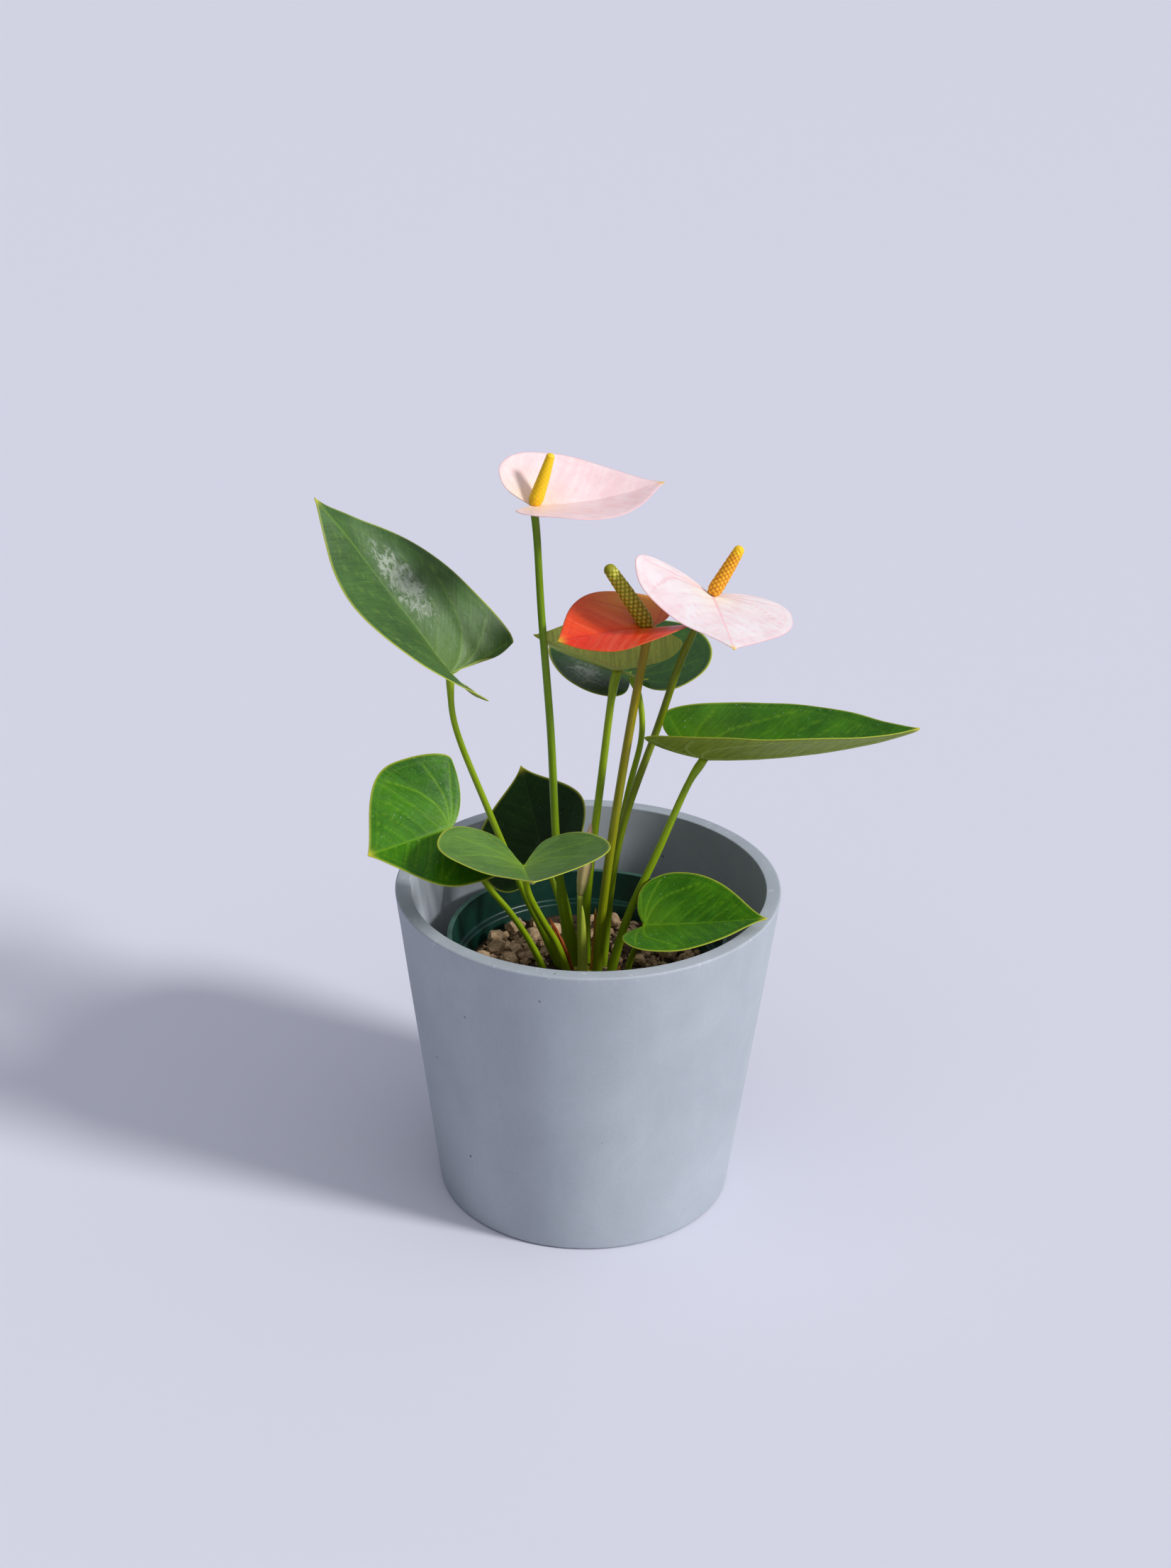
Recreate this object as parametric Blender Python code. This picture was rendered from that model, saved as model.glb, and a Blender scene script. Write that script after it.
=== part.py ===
"""Potted anthurium: a small flowering plant in its nursery pot, inside a tapered cover pot.

Every piece is its own object: the two pots, the potting mix, the loose pumice pebbles, and each
blade, petiole, stalk, spathe and spadix of the plant. Lengths in the tables are in millimetres
and angles in degrees. The origin is the centre of the cover pot's base, with +Z up and the
plant's front towards -Y.
"""

import math
import random
from dataclasses import dataclass

import bmesh
import bpy
import numpy as np
from mathutils import Vector

MM = 0.001
GAP = 0.3  # free space between two pieces that touch in the real plant

# Cover pot: a tapered tub with a thick wall and a flat rim.
POT_HEIGHT = 131.0
POT_RIM_RADIUS = 75.0
POT_BASE_RADIUS = 58.3
POT_WALL = 5.9
POT_FLOOR = 8.0
POT_EDGE = 1.2  # rounding of the rim's outer edge and of the foot
POT_INNER_EDGE = 0.4
POT_FLOOR_FILLET = 4.0
EDGE_MIDDLE = 0.3  # an edge's middle point lies this share of its rounding in from the corner
POT_SIDES = 72

# Nursery pot: thin plastic, with a wider collar around its mouth.
NURSERY_RIM_RADIUS = 55.0
NURSERY_RIM_HEIGHT = 109.0
NURSERY_COLLAR_DROP = 13.0
NURSERY_SHOULDER_RADIUS = 51.0
NURSERY_BASE_RADIUS = 40.0
NURSERY_WALL = 1.3
NURSERY_LIP = 0.7  # the lip stands out this far from the collar
NURSERY_LIP_DEPTH = 2.2
NURSERY_DRAFT = 0.5  # the collar narrows this much from its lip to its foot
NURSERY_SIDES = 48
DRAIN_HOLES = 6
DRAIN_RADIUS = 4.0
DRAIN_CIRCLE = 27.0
DRAIN_SIDES = 14
DRAIN_TURN = 0.3  # share of a step by which the ring of holes is turned

SOIL_TOP = 92.0
SOIL_SIDES = 40

CROWN_CENTRE = (-2.5, -3.0)
CROWN_RADIUS = 8.0
CROWN_HEIGHT = 3.0
CROWN_SIDES = 16

BLADE_THICKNESS = 0.9
SPATHE_THICKNESS = 0.8
SINUS_DEPTH = 1.2  # the notch of a blade ends this far behind the point where the petiole joins
BLADE_RINGS = (0.4, 0.75, 1.0)
OUTLINE_STEPS = 6  # points on each of an outline's three arcs
ARC = 0.55  # handle length that makes a Bezier segment close to a quarter ellipse


@dataclass
class Blade:
    """A heart-shaped leaf or spathe, drawn flat and then folded, bent and turned into place.

    Flat, the midrib runs from the petiole's junction along +x to the tip, left is +y, and the
    upper side faces +z. Lobe reach is how far the two basal lobes come back behind the junction.
    """

    name: str
    junction: tuple
    length: float
    half_width: float
    widest: float  # share of the length at which the blade is widest
    lobe_reach: float
    lobe_spread: float  # the lobes' ends are this share of the half width from the midrib
    tip_fullness: float
    notch_fullness: float
    tip_fold: tuple  # left and right halves rise by this angle at the tip
    base_fold: tuple  # and by this angle at the lobes
    curl: tuple  # extra rise per centimetre away from the midrib
    bend: tuple  # rise of the midrib per centimetre towards the tip, and towards the lobes
    heading: float
    pitch: float
    roll: float
    right_width: float = 1.0
    right_lobe: float = 1.0


LEAVES = (
    Blade(
        "leaf_upper_left", (-53.1, 0, 218.6), 85, 32.5, 0.19, 7.3, 0.90, 0.38, 0.8,
        (-27, -8), (41, 32), (-0.8, -0.7), (-0.3, 1.0), 186, 57, -18.5, 1.03, 1.5,
    ),
    Blade(
        "leaf_lower_left", (-52.5, -20, 163.8), 35.5, 28, 0.26, 12, 0.80, 0.35, 0.12,
        (16, 6), (2, 20), (0.7, 0), (-0.6, 0), 215, -2, -30, 1.12,
    ),
    Blade(
        "leaf_front", (-24.1, -35, 155.7), 42.5, 33, 0.18, 20, 0.37, 0.26, 0.37,
        (15, 5), (21, 23.5), (1.5, 0.9), (5.3, 4.0), 276, 9, -4, 1.05,
    ),
    Blade(
        "leaf_back", (-17.5, 20, 130.8), 40, 27, 0.18, 9, 0.57, 0.23, 0.35,
        (9, -6.5), (10, 34), (-0.3, -0.3), (1.5, 0.1), 108.5, 44, -42, 1.03,
    ),
    Blade(
        "leaf_low_right", (22.3, -24, 125.8), 48.5, 24.5, 0.18, 5.2, 0.50, 0.28, 0.36,
        (10, 9), (20, 21), (0, -2.3), (1.2, 0.7), -17, 10.5, 11.5,
    ),
    Blade(
        "leaf_long_right", (43.4, 0, 185.2), 84, 27, 0.21, 19.5, 0.69, 0.47, 0.35,
        (20, 24), (41, 40.5), (-0.5, -0.8), (2.2, 0.7), -14.5, 6, -5,
    ),
    Blade(
        "leaf_mid_back", (14.4, 38, 204.1), 43.5, 31.5, 0.08, 20, 0.45, 0.24, 0.12,
        (8, 7), (16, 19), (-0.4, -0.6), (-1.7, 4.9), 106, 17, 0, 1.09,
    ),
    Blade(
        "leaf_mid_front", (10.0, 12, 216.1), 37, 23, 0.22, 20, 0.80, 0.26, 0.55,
        (35, 10), (45, 20), (0, 0), (-0.4, 5.0), 194, 28, 36, 0.8,
    ),
)

SPATHES = (
    Blade(
        "spathe_pink", (-21.8, 0, 285.2), 52, 24.5, 0.24, 11.5, 0.54, 0.36, 0.35,
        (7, 5), (39.5, 12), (1.0, 0.9), (4.2, 2.2), 22.5, -7, 4.5,
    ),
    Blade(
        "spathe_red", (21.1, -5, 240.2), 36.5, 25, 0.25, 12.5, 0.48, 0.45, 0.33,
        (-2, 7.5), (31, 9), (1.1, 0.2), (-2.5, -4.6), 203, 4, -5.5,
    ),
    Blade(
        "spathe_white", (44.1, 5, 249.5), 42.5, 31.5, 0.05, 6.3, 0.58, 0.21, 0.36,
        (0.5, -15.5), (5, 15), (-0.4, -0.2), (-0.9, 0), 280, -4.5, -19.5, 1.08,
    ),
)

# Each stem: where it leaves the soil (x, y), the points it passes, and its radius at shares of
# its length. It ends at the junction of the blade of the same row.
STEMS = {
    "leaf_upper_left": (
        (-10.5, 3), ((-18, 2, 109.5), (-25.5, 1.5, 127), (-39.5, 1, 163.5), (-51, 0.5, 196.5)),
        ((0, 1.6), (0.3, 1.3), (0.92, 1.15), (0.97, 1.5), (1, 1.4)),
    ),
    "leaf_lower_left": (
        (-15.5, -6), ((-21, -7.5, 106), (-29.5, -10.5, 122.5), (-39.5, -14, 138)),
        ((0, 1.5), (0.3, 1.2), (0.9, 1.1), (0.96, 1.4), (1, 1.3)),
    ),
    "leaf_front": (
        (-6, -10.5), ((-11.5, -15, 111), (-17.5, -22, 126.5), (-22.5, -29, 141.5)),
        ((0, 1.8), (0.3, 1.5), (0.85, 1.2), (0.95, 1.5), (1, 1.4)),
    ),
    "leaf_back": (
        (-7.5, 8.5), ((-10, 13, 109.5), (-13, 17, 119.5)),
        ((0, 1.5), (0.4, 1.2), (0.85, 1.1), (0.94, 1.4), (1, 1.3)),
    ),
    "leaf_low_right": (
        (14.5, -15), ((16, -17.5, 103.5), (18.5, -21, 114.5)),
        ((0, 1.4), (0.4, 1.15), (0.8, 1.1), (0.92, 1.3), (1, 1.2)),
    ),
    "leaf_long_right": (
        (8.5, -6.5), ((15.5, -5, 119), (26.5, -3, 146.5), (37, -1, 173.5)),
        ((0, 1.9), (0.3, 1.5), (0.9, 1.3), (0.96, 1.7), (1, 1.6)),
    ),
    "leaf_mid_back": (
        (4, 9.5), ((9, 15, 125.5), (15, 24, 158), (20, 30.5, 179.5), (19, 36, 194)),
        ((0, 1.6), (0.3, 1.3), (0.9, 1.1), (0.96, 1.4), (1, 1.3)),
    ),
    "leaf_mid_front": (
        (0.3, 5), ((-0.6, 6, 113), (1, 7.5, 137), (4.5, 9.5, 172), (8, 11.5, 206)),
        ((0, 1.8), (0.3, 1.5), (0.9, 1.4), (0.95, 1.8), (1, 1.8)),
    ),
    "spathe_pink": (
        (-3.2, 1),
        ((-8.2, 1, 113.5), (-12.3, 1, 145), (-15, 0.6, 195), (-18.7, 0.3, 242), (-20.5, 0, 272)),
        ((0, 2.9), (0.14, 2.4), (0.2, 1.6), (0.9, 1.35), (1, 1.5)),
    ),
    "spathe_red": (
        (3.8, -8.5), ((5.4, -7.7, 120.5), (9.7, -7, 161), (15, -6, 201), (19.5, -5.2, 230)),
        ((0, 2.0), (0.2, 1.75), (0.9, 1.6), (1, 1.8)),
    ),
    "spathe_white": (
        (6.2, 3.5), ((9.4, 4.2, 131), (14.5, 4.3, 159.5), (25, 4.6, 194), (34, 4.8, 224.5)),
        ((0, 1.8), (0.2, 1.5), (0.9, 1.4), (1, 1.5)),
    ),
}

# Spadix of each spathe: its direction from the junction, length, and radii near base and tip.
SPADICES = {
    "spathe_pink": ("spadix_pink", (5.7, 3.0, 17.9), 20.0, 2.7, 1.6),
    "spathe_red": ("spadix_red", (-15.5, 4.0, 21.6), 28.0, 3.1, 2.3),
    "spathe_white": ("spadix_white", (9.8, 4.0, 16.8), 21.0, 2.7, 1.9),
}

# Loose pumice pebbles on the mix: x, y and radius.
PEBBLES = (
    (-41.5, 3, 4.2), (-36, 12.5, 3.8), (-39.5, -7, 3.2), (-37, 22, 4.0), (-31, 4.5, 3.6),
    (-28.5, 13.5, 3.2), (-29.5, 30, 4.4), (-21, 36, 3.6), (-22, 23, 4.6), (-13, 28, 3.5),
    (-22, 8.5, 2.8), (-14.5, 15.5, 3.0), (21, 6, 3.0), (32, 11, 3.4), (41, 4, 2.8),
    (27, -4, 2.6), (11, 38, 3.4), (-24, -24, 3.8), (9, -33, 3.2), (33, -22, 3.4),
)
PEBBLE_DENTS = 5
PEBBLE_LEAN = 0.4


def material(name, color, roughness):
    made = bpy.data.materials.new(name)
    made.use_nodes = True
    shader = made.node_tree.nodes["Principled BSDF"]
    shader.inputs["Base Color"].default_value = (*color, 1.0)
    shader.inputs["Roughness"].default_value = roughness
    shader.inputs["Metallic"].default_value = 0.0
    return made


def place(name, mesh, finish):
    """Adds the mesh to the scene as a smooth-shaded object of one material."""
    mesh.materials.append(finish)
    mesh.shade_smooth()
    mesh.set_sharp_from_angle(angle=math.radians(40))
    made = bpy.data.objects.new(name, mesh)
    bpy.context.scene.collection.objects.link(made)
    return made


def mesh_of(name, points, faces):
    """A mesh from points in millimetres, with its faces turned outwards."""
    mesh = bpy.data.meshes.new(name)
    mesh.from_pydata([Vector(point) * MM for point in points], [], faces)
    work = bmesh.new()
    work.from_mesh(mesh)
    bmesh.ops.recalc_face_normals(work, faces=work.faces)
    work.to_mesh(mesh)
    work.free()
    return mesh


def lathe(name, profile, sides, centre=(0.0, 0.0)):
    """A closed solid of revolution: the profile's first and last points are on the axis."""
    points = [(centre[0], centre[1], profile[0][1])]
    for radius, height in profile[1:-1]:
        for step in range(sides):
            turn = 2 * math.pi * step / sides
            points.append((centre[0] + radius * math.cos(turn), centre[1] + radius * math.sin(turn), height))
    points.append((centre[0], centre[1], profile[-1][1]))
    rings = len(profile) - 2
    faces = []
    for step in range(sides):
        following = (step + 1) % sides
        faces.append((0, 1 + step, 1 + following))
        for ring in range(rings - 1):
            low, high = 1 + ring * sides, 1 + (ring + 1) * sides
            faces.append((low + step, high + step, high + following, low + following))
        last = 1 + (rings - 1) * sides
        faces.append((last + step, len(points) - 1, last + following))
    return mesh_of(name, points, faces)


def outer_pot():
    """Base centre, foot, outer wall, rim, inner wall and floor, in that order."""
    slope = (POT_RIM_RADIUS - POT_BASE_RADIUS) / POT_HEIGHT
    floor_radius = POT_BASE_RADIUS + slope * POT_FLOOR - POT_WALL
    rim_inside = POT_RIM_RADIUS - POT_WALL
    profile = [
        (0, 0),
        (POT_BASE_RADIUS - POT_EDGE, 0),
        (POT_BASE_RADIUS - EDGE_MIDDLE * POT_EDGE, EDGE_MIDDLE * POT_EDGE),
        (POT_BASE_RADIUS + slope * POT_EDGE, POT_EDGE),
        (POT_RIM_RADIUS - slope * POT_EDGE, POT_HEIGHT - POT_EDGE),
        (POT_RIM_RADIUS - EDGE_MIDDLE * POT_EDGE, POT_HEIGHT - EDGE_MIDDLE * POT_EDGE),
        (POT_RIM_RADIUS - POT_EDGE, POT_HEIGHT),
        (rim_inside + POT_INNER_EDGE, POT_HEIGHT),
        (rim_inside, POT_HEIGHT - POT_INNER_EDGE),
        (floor_radius, POT_FLOOR + POT_FLOOR_FILLET),
        (floor_radius - POT_FLOOR_FILLET, POT_FLOOR),
        (0, POT_FLOOR),
    ]
    slate = material("pot_slate", (0.21, 0.27, 0.33), 0.6)
    return place("outer_pot", lathe("outer_pot", profile, POT_SIDES), slate)


def nursery_pot():
    """Thin-walled pot with a collar, a rolled lip and a ring of drain holes in its floor."""
    base = POT_FLOOR + GAP
    collar = NURSERY_RIM_HEIGHT - NURSERY_COLLAR_DROP
    inside_shoulder = NURSERY_SHOULDER_RADIUS - NURSERY_WALL
    collar_radius = NURSERY_RIM_RADIUS - NURSERY_LIP - NURSERY_DRAFT
    profile = [
        (0, base),
        (NURSERY_BASE_RADIUS, base),
        (NURSERY_SHOULDER_RADIUS, collar - NURSERY_WALL),
        (collar_radius, collar - NURSERY_WALL),
        (NURSERY_RIM_RADIUS - NURSERY_LIP, NURSERY_RIM_HEIGHT - NURSERY_LIP_DEPTH - GAP),
        (NURSERY_RIM_RADIUS, NURSERY_RIM_HEIGHT - NURSERY_LIP_DEPTH),
        (NURSERY_RIM_RADIUS, NURSERY_RIM_HEIGHT),
        (NURSERY_RIM_RADIUS - NURSERY_LIP - NURSERY_WALL, NURSERY_RIM_HEIGHT),
        (collar_radius - NURSERY_WALL, collar),
        (inside_shoulder, collar),
        (NURSERY_BASE_RADIUS - NURSERY_WALL, base + NURSERY_WALL),
        (0, base + NURSERY_WALL),
    ]
    plastic = material("nursery_green", (0.01, 0.07, 0.05), 0.4)
    pot = place("nursery_pot", lathe("nursery_pot", profile, NURSERY_SIDES), plastic)
    for hole in range(DRAIN_HOLES):
        turn = 2 * math.pi * (hole + DRAIN_TURN) / DRAIN_HOLES
        bpy.ops.mesh.primitive_cylinder_add(
            vertices=DRAIN_SIDES,
            radius=DRAIN_RADIUS * MM,
            depth=6 * NURSERY_WALL * MM,
            location=(DRAIN_CIRCLE * math.cos(turn) * MM, DRAIN_CIRCLE * math.sin(turn) * MM, base * MM),
        )
        cutter = bpy.context.object
        cutter.name = f"drain_cutter_{hole + 1}"
        cutter.hide_render = True
        cutter.display_type = "WIRE"
        cut = pot.modifiers.new(cutter.name, "BOOLEAN")
        cut.operation = "DIFFERENCE"
        cut.object = cutter
    return pot


def potting_mix():
    """The mix fills the nursery pot up to the collar, clear of its wall and floor."""
    base = POT_FLOOR + 2 * GAP + NURSERY_WALL
    collar = NURSERY_RIM_HEIGHT - NURSERY_COLLAR_DROP
    taper = (NURSERY_SHOULDER_RADIUS - NURSERY_BASE_RADIUS) / (collar - POT_FLOOR - GAP - NURSERY_WALL)
    clearance = NURSERY_WALL + 2 * GAP
    bottom_radius = NURSERY_BASE_RADIUS - clearance
    top_radius = NURSERY_BASE_RADIUS + taper * (SOIL_TOP - base) - clearance
    profile = [(0, base), (bottom_radius, base), (top_radius, SOIL_TOP), (0, SOIL_TOP)]
    earth = material("mix", (0.08, 0.05, 0.03), 0.95)
    return place("potting_mix", lathe("potting_mix", profile, SOIL_SIDES), earth)


def crown():
    """The short stub of stem from which the stalks rise."""
    low = SOIL_TOP + GAP
    profile = [(0, low), (CROWN_RADIUS, low)]
    profile += [(CROWN_RADIUS * share, crown_top(CROWN_RADIUS * share)) for share in (0.93, 0.75, 0.5, 0.25)]
    profile.append((0, crown_top(0)))
    green = material("crown_green", (0.35, 0.4, 0.05), 0.6)
    return place("crown", lathe("crown", profile, CROWN_SIDES, CROWN_CENTRE), green)


def crown_top(distance):
    """Height of the crown's dome at this distance from its centre."""
    return SOIL_TOP + GAP + CROWN_HEIGHT * (1 - (distance / CROWN_RADIUS) ** 2)


def stem_foot(spot, radius):
    """Where a stem of this radius starts: just above the mix, or above the crown if it stands on it."""
    reach = math.dist(spot, CROWN_CENTRE) - radius
    surface = crown_top(max(reach, 0)) if reach < CROWN_RADIUS else SOIL_TOP
    return (spot[0], spot[1], surface + GAP + 0.35 * radius)


def bezier(start, first, second, end, count):
    share = np.linspace(0, 1, count)[:, None]
    start, first, second, end = (np.array(point, float) for point in (start, first, second, end))
    rest = 1 - share
    return rest**3 * start + 3 * rest**2 * share * first + 3 * rest * share**2 * second + share**3 * end


def half_outline(blade, width, reach):
    """The flat left margin from the tip, past the widest point and round the lobe, to the notch."""
    tip, wide, lobe = blade.length, blade.widest * blade.length, blade.lobe_spread * width
    towards_tip = bezier(
        (tip, 0), (tip - 0.3 * (tip - wide), blade.tip_fullness * width),
        (wide + ARC * (tip - wide), width), (wide, width), OUTLINE_STEPS,
    )
    round_lobe = bezier(
        (wide, width), (wide - ARC * (wide + reach), width), (-reach, lobe + ARC * (width - lobe)),
        (-reach, lobe), OUTLINE_STEPS,
    )
    into_notch = bezier(
        (-reach, lobe), (-reach, lobe * (1 - ARC)),
        (-0.45 * reach - SINUS_DEPTH, blade.notch_fullness * lobe), (-SINUS_DEPTH, 0), OUTLINE_STEPS,
    )
    return np.concatenate([towards_tip, round_lobe[1:], into_notch[1:]])


def flat_outline(blade):
    """The whole margin, anticlockwise seen from above, starting at the tip."""
    left = half_outline(blade, blade.half_width, blade.lobe_reach)
    right = half_outline(blade, blade.half_width * blade.right_width, blade.lobe_reach * blade.right_lobe)
    return np.concatenate([left, right[-2:0:-1] * (1, -1)])


def arc_offset(distance, rate, start=0.0):
    """Run and rise along an arc that starts at an angle and turns by a rate in radians per mm."""
    rate = np.where(np.abs(rate) < 1e-6, 1e-6, rate)
    run = (np.sin(start + rate * distance) - np.sin(start)) / rate
    rise = (np.cos(start) - np.cos(start + rate * distance)) / rate
    return run, rise


def turned(points, heading, pitch, roll):
    for angle, first, second in ((roll, 1, 2), (-pitch, 2, 0), (heading, 0, 1)):
        cosine, sine = math.cos(math.radians(angle)), math.sin(math.radians(angle))
        one, two = points[:, first].copy(), points[:, second].copy()
        points[:, first], points[:, second] = cosine * one - sine * two, sine * one + cosine * two
    return points


def shaped(blade, flat):
    """Folds flat points across the midrib, bends them along it, and turns them into place."""
    along, across = flat[:, 0], flat[:, 1]
    left = across > 0
    share = np.clip((along + blade.lobe_reach) / (blade.length + blade.lobe_reach), 0, 1)
    base = np.radians(np.where(left, *blade.base_fold))
    tip = np.radians(np.where(left, *blade.tip_fold))
    curl = np.radians(np.where(left, *blade.curl)) / 10
    run, rise = arc_offset(np.abs(across), curl, base + (tip - base) * share)
    bend = np.radians(np.where(along > 0, *blade.bend)) / 10
    forward, lift = arc_offset(along, bend)
    slope = bend * along
    points = np.stack(
        [forward - rise * np.sin(slope), np.sign(across) * run, lift + rise * np.cos(slope)], axis=-1
    )
    return turned(points, blade.heading, blade.pitch, blade.roll) + np.array(blade.junction)


def blade_solid(blade, thickness, finish):
    """The blade as a fan of rings round the junction, given its thickness to both sides."""
    margin = flat_outline(blade)
    flat = np.concatenate([np.zeros((1, 2))] + [ring * margin for ring in BLADE_RINGS])
    middle = shaped(blade, flat)
    count = len(margin)
    triangles = []
    for step in range(count):
        following = (step + 1) % count
        triangles.append((0, 1 + step, 1 + following))
        for ring in range(len(BLADE_RINGS) - 1):
            low, high = 1 + ring * count, 1 + (ring + 1) * count
            triangles.append((low + step, high + step, high + following))
            triangles.append((low + step, high + following, low + following))
    corners = middle[np.array(triangles)]
    facing = np.cross(corners[:, 1] - corners[:, 0], corners[:, 2] - corners[:, 0])
    normals = np.zeros_like(middle)
    for corner in range(3):
        np.add.at(normals, np.array(triangles)[:, corner], facing)
    normals /= np.linalg.norm(normals, axis=1, keepdims=True)
    points = np.concatenate([middle + normals * thickness / 2, middle - normals * thickness / 2])
    under = len(middle)
    faces = list(triangles)
    faces += [(a + under, c + under, b + under) for a, b, c in triangles]
    edge = 1 + (len(BLADE_RINGS) - 1) * count
    for step in range(count):
        following = (step + 1) % count
        faces.append((edge + step, edge + step + under, edge + following + under, edge + following))
    return place(blade.name, mesh_of(blade.name, points, faces), finish)


def smooth_route(points, spacing):
    """Points every so often on a Catmull-Rom curve through the given ones."""
    points = [np.array(point, float) for point in points]
    ends = [2 * points[0] - points[1], *points, 2 * points[-1] - points[-2]]
    route = [points[0]]
    for before, start, end, after in zip(ends, ends[1:], ends[2:], ends[3:]):
        count = max(1, round(float(np.linalg.norm(end - start)) / spacing))
        for step in range(1, count + 1):
            share = step / count
            route.append(
                0.5
                * (
                    2 * start
                    + (end - before) * share
                    + (2 * before - 5 * start + 4 * end - after) * share**2
                    + (3 * start - before - 3 * end + after) * share**3
                )
            )
    return np.array(route)


def tube(name, points, radii, finish, spacing=9.0, resolution=2):
    """A round stem along a smooth route, its radius read from (share of length, radius) pairs."""
    route = smooth_route(points, spacing)
    steps = np.concatenate([[0], np.cumsum(np.linalg.norm(np.diff(route, axis=0), axis=1))])
    widths = np.interp(steps / steps[-1], *zip(*radii))
    curve = bpy.data.curves.new(name, "CURVE")
    curve.dimensions = "3D"
    curve.bevel_depth = MM
    curve.bevel_resolution = resolution
    curve.use_fill_caps = True
    spline = curve.splines.new("POLY")
    spline.points.add(len(route) - 1)
    for point, spot, width in zip(spline.points, route, widths):
        point.co = (*(spot * MM), 1)
        point.radius = width
    curve.materials.append(finish)
    made = bpy.data.objects.new(name, curve)
    bpy.context.scene.collection.objects.link(made)
    return made


def stem(name, blade, finish):
    """The petiole or stalk of a blade, ending just below its junction."""
    spot, passes, radii = STEMS[blade.name]
    foot = stem_foot(spot, radii[0][1])
    junction = np.array(blade.junction, float)
    arriving = junction - np.array(passes[-1], float)
    arriving /= np.linalg.norm(arriving)
    top = junction - arriving * (BLADE_THICKNESS / 2 + GAP + 1.2 * radii[-1][1])
    return tube(name, [foot, *passes, top], radii, finish)


def spindle(name, start, direction, length, radii, finish, sides=10):
    """A straight tapered solid: radii are (share of length, radius) pairs, zero at both ends."""
    axis = Vector(direction).normalized()
    shares, widths = zip(*radii)
    profile = [(width, share * length) for share, width in zip(shares, widths)]
    mesh = lathe(name, profile, sides)
    mesh.transform(axis.to_track_quat("Z", "Y").to_matrix().to_4x4())
    made = place(name, mesh, finish)
    made.location = Vector(start) * MM
    return made


def spadix(blade, finish):
    name, direction, length, base_radius, tip_radius = SPADICES[blade.name]
    axis = Vector(direction).normalized()
    start = Vector(blade.junction) + axis * (SPATHE_THICKNESS / 2 + 4 * GAP)
    radii = ((0, 0), (0, 0.7), (0.17, base_radius), (0.6, 0.5 * (base_radius + tip_radius)))
    radii += ((0.9, tip_radius), (0.97, 0.75 * tip_radius), (1, 0))
    return spindle(name, start, direction, length, radii, finish)


def pebble(index, spot, finish):
    """An irregular lump: an icosphere whose points are pushed in and out, resting on the mix."""
    east, north, radius = spot
    dice = random.Random(index)
    work = bmesh.new()
    bmesh.ops.create_icosphere(work, subdivisions=2, radius=1.0)
    stretch = (1.0, dice.uniform(0.75, 0.95), dice.uniform(0.7, 0.85))
    dents = []
    for _ in range(PEBBLE_DENTS):
        way = Vector([dice.gauss(0, 1) for _ in range(3)]).normalized()
        dents.append((way, dice.uniform(0.1, 0.3)))
    for vertex in work.verts:
        push = 1.0 - sum(depth * max(0.0, vertex.co.dot(way)) ** 4 for way, depth in dents)
        vertex.co = Vector([co * push * factor * radius * MM for co, factor in zip(vertex.co, stretch)])
    lean = Vector((dice.uniform(-PEBBLE_LEAN, PEBBLE_LEAN), dice.uniform(-PEBBLE_LEAN, PEBBLE_LEAN), 1))
    bmesh.ops.rotate(work, verts=work.verts, matrix=Vector((0, 0, 1)).rotation_difference(lean).to_matrix())
    lowest = min(vertex.co.z for vertex in work.verts)
    bmesh.ops.translate(work, verts=work.verts, vec=(east * MM, north * MM, (SOIL_TOP + GAP) * MM - lowest))
    name = f"pebble_{index:02d}"
    mesh = bpy.data.meshes.new(name)
    work.to_mesh(mesh)
    work.free()
    return place(name, mesh, finish)


def plant():
    leaf_green = material("leaf_green", (0.03, 0.13, 0.02), 0.35)
    stem_green = material("stem_green", (0.17, 0.3, 0.02), 0.45)
    for blade in LEAVES:
        blade_solid(blade, BLADE_THICKNESS, leaf_green)
        stem(blade.name.replace("leaf", "petiole"), blade, stem_green)
    colours = {
        "spathe_pink": ((0.9, 0.55, 0.53), (0.85, 0.5, 0.01)),
        "spathe_red": ((0.8, 0.06, 0.03), (0.35, 0.4, 0.02)),
        "spathe_white": ((0.9, 0.72, 0.7), (0.85, 0.4, 0.01)),
    }
    for blade in SPATHES:
        spathe_colour, spadix_colour = colours[blade.name]
        blade_solid(blade, SPATHE_THICKNESS, material(blade.name, spathe_colour, 0.35))
        stem(blade.name.replace("spathe", "flower_stalk"), blade, stem_green)
        spadix(blade, material(blade.name.replace("spathe", "spadix"), spadix_colour, 0.5))


def young_growth():
    """The rolled young spathe on its stalk, and the sheath of the next leaf."""
    green = material("young_green", (0.3, 0.4, 0.04), 0.45)
    bud_foot, bud_top = (-3.1, -3.4, 127.0), (0.8, -3.0, 158.5)
    tube("bud_stalk", [stem_foot((-1.2, -3.6), 1.4), (-2.6, -3.6, 108), (-3.1, -3.5, 126.3)],
         ((0, 1.4), (1, 1.2)), green)
    roll = ((0, 0), (0, 1.1), (0.2, 2.5), (0.45, 3.0), (0.75, 2.0), (0.95, 0.7), (1, 0))
    direction = [top - foot for foot, top in zip(bud_foot, bud_top)]
    spindle("bud_spathe", bud_foot, direction, math.dist(bud_foot, bud_top), roll,
            material("bud_cream", (0.7, 0.45, 0.2), 0.4))
    sheath = ((0, 0), (0, 2.2), (0.35, 1.9), (0.8, 1.2), (0.96, 0.5), (1, 0))
    foot = stem_foot((-1.6, -9.2), 2.2)
    spindle("new_leaf_sheath", foot, (-0.7, 0, 32), 31, sheath, green, 8)


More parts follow.
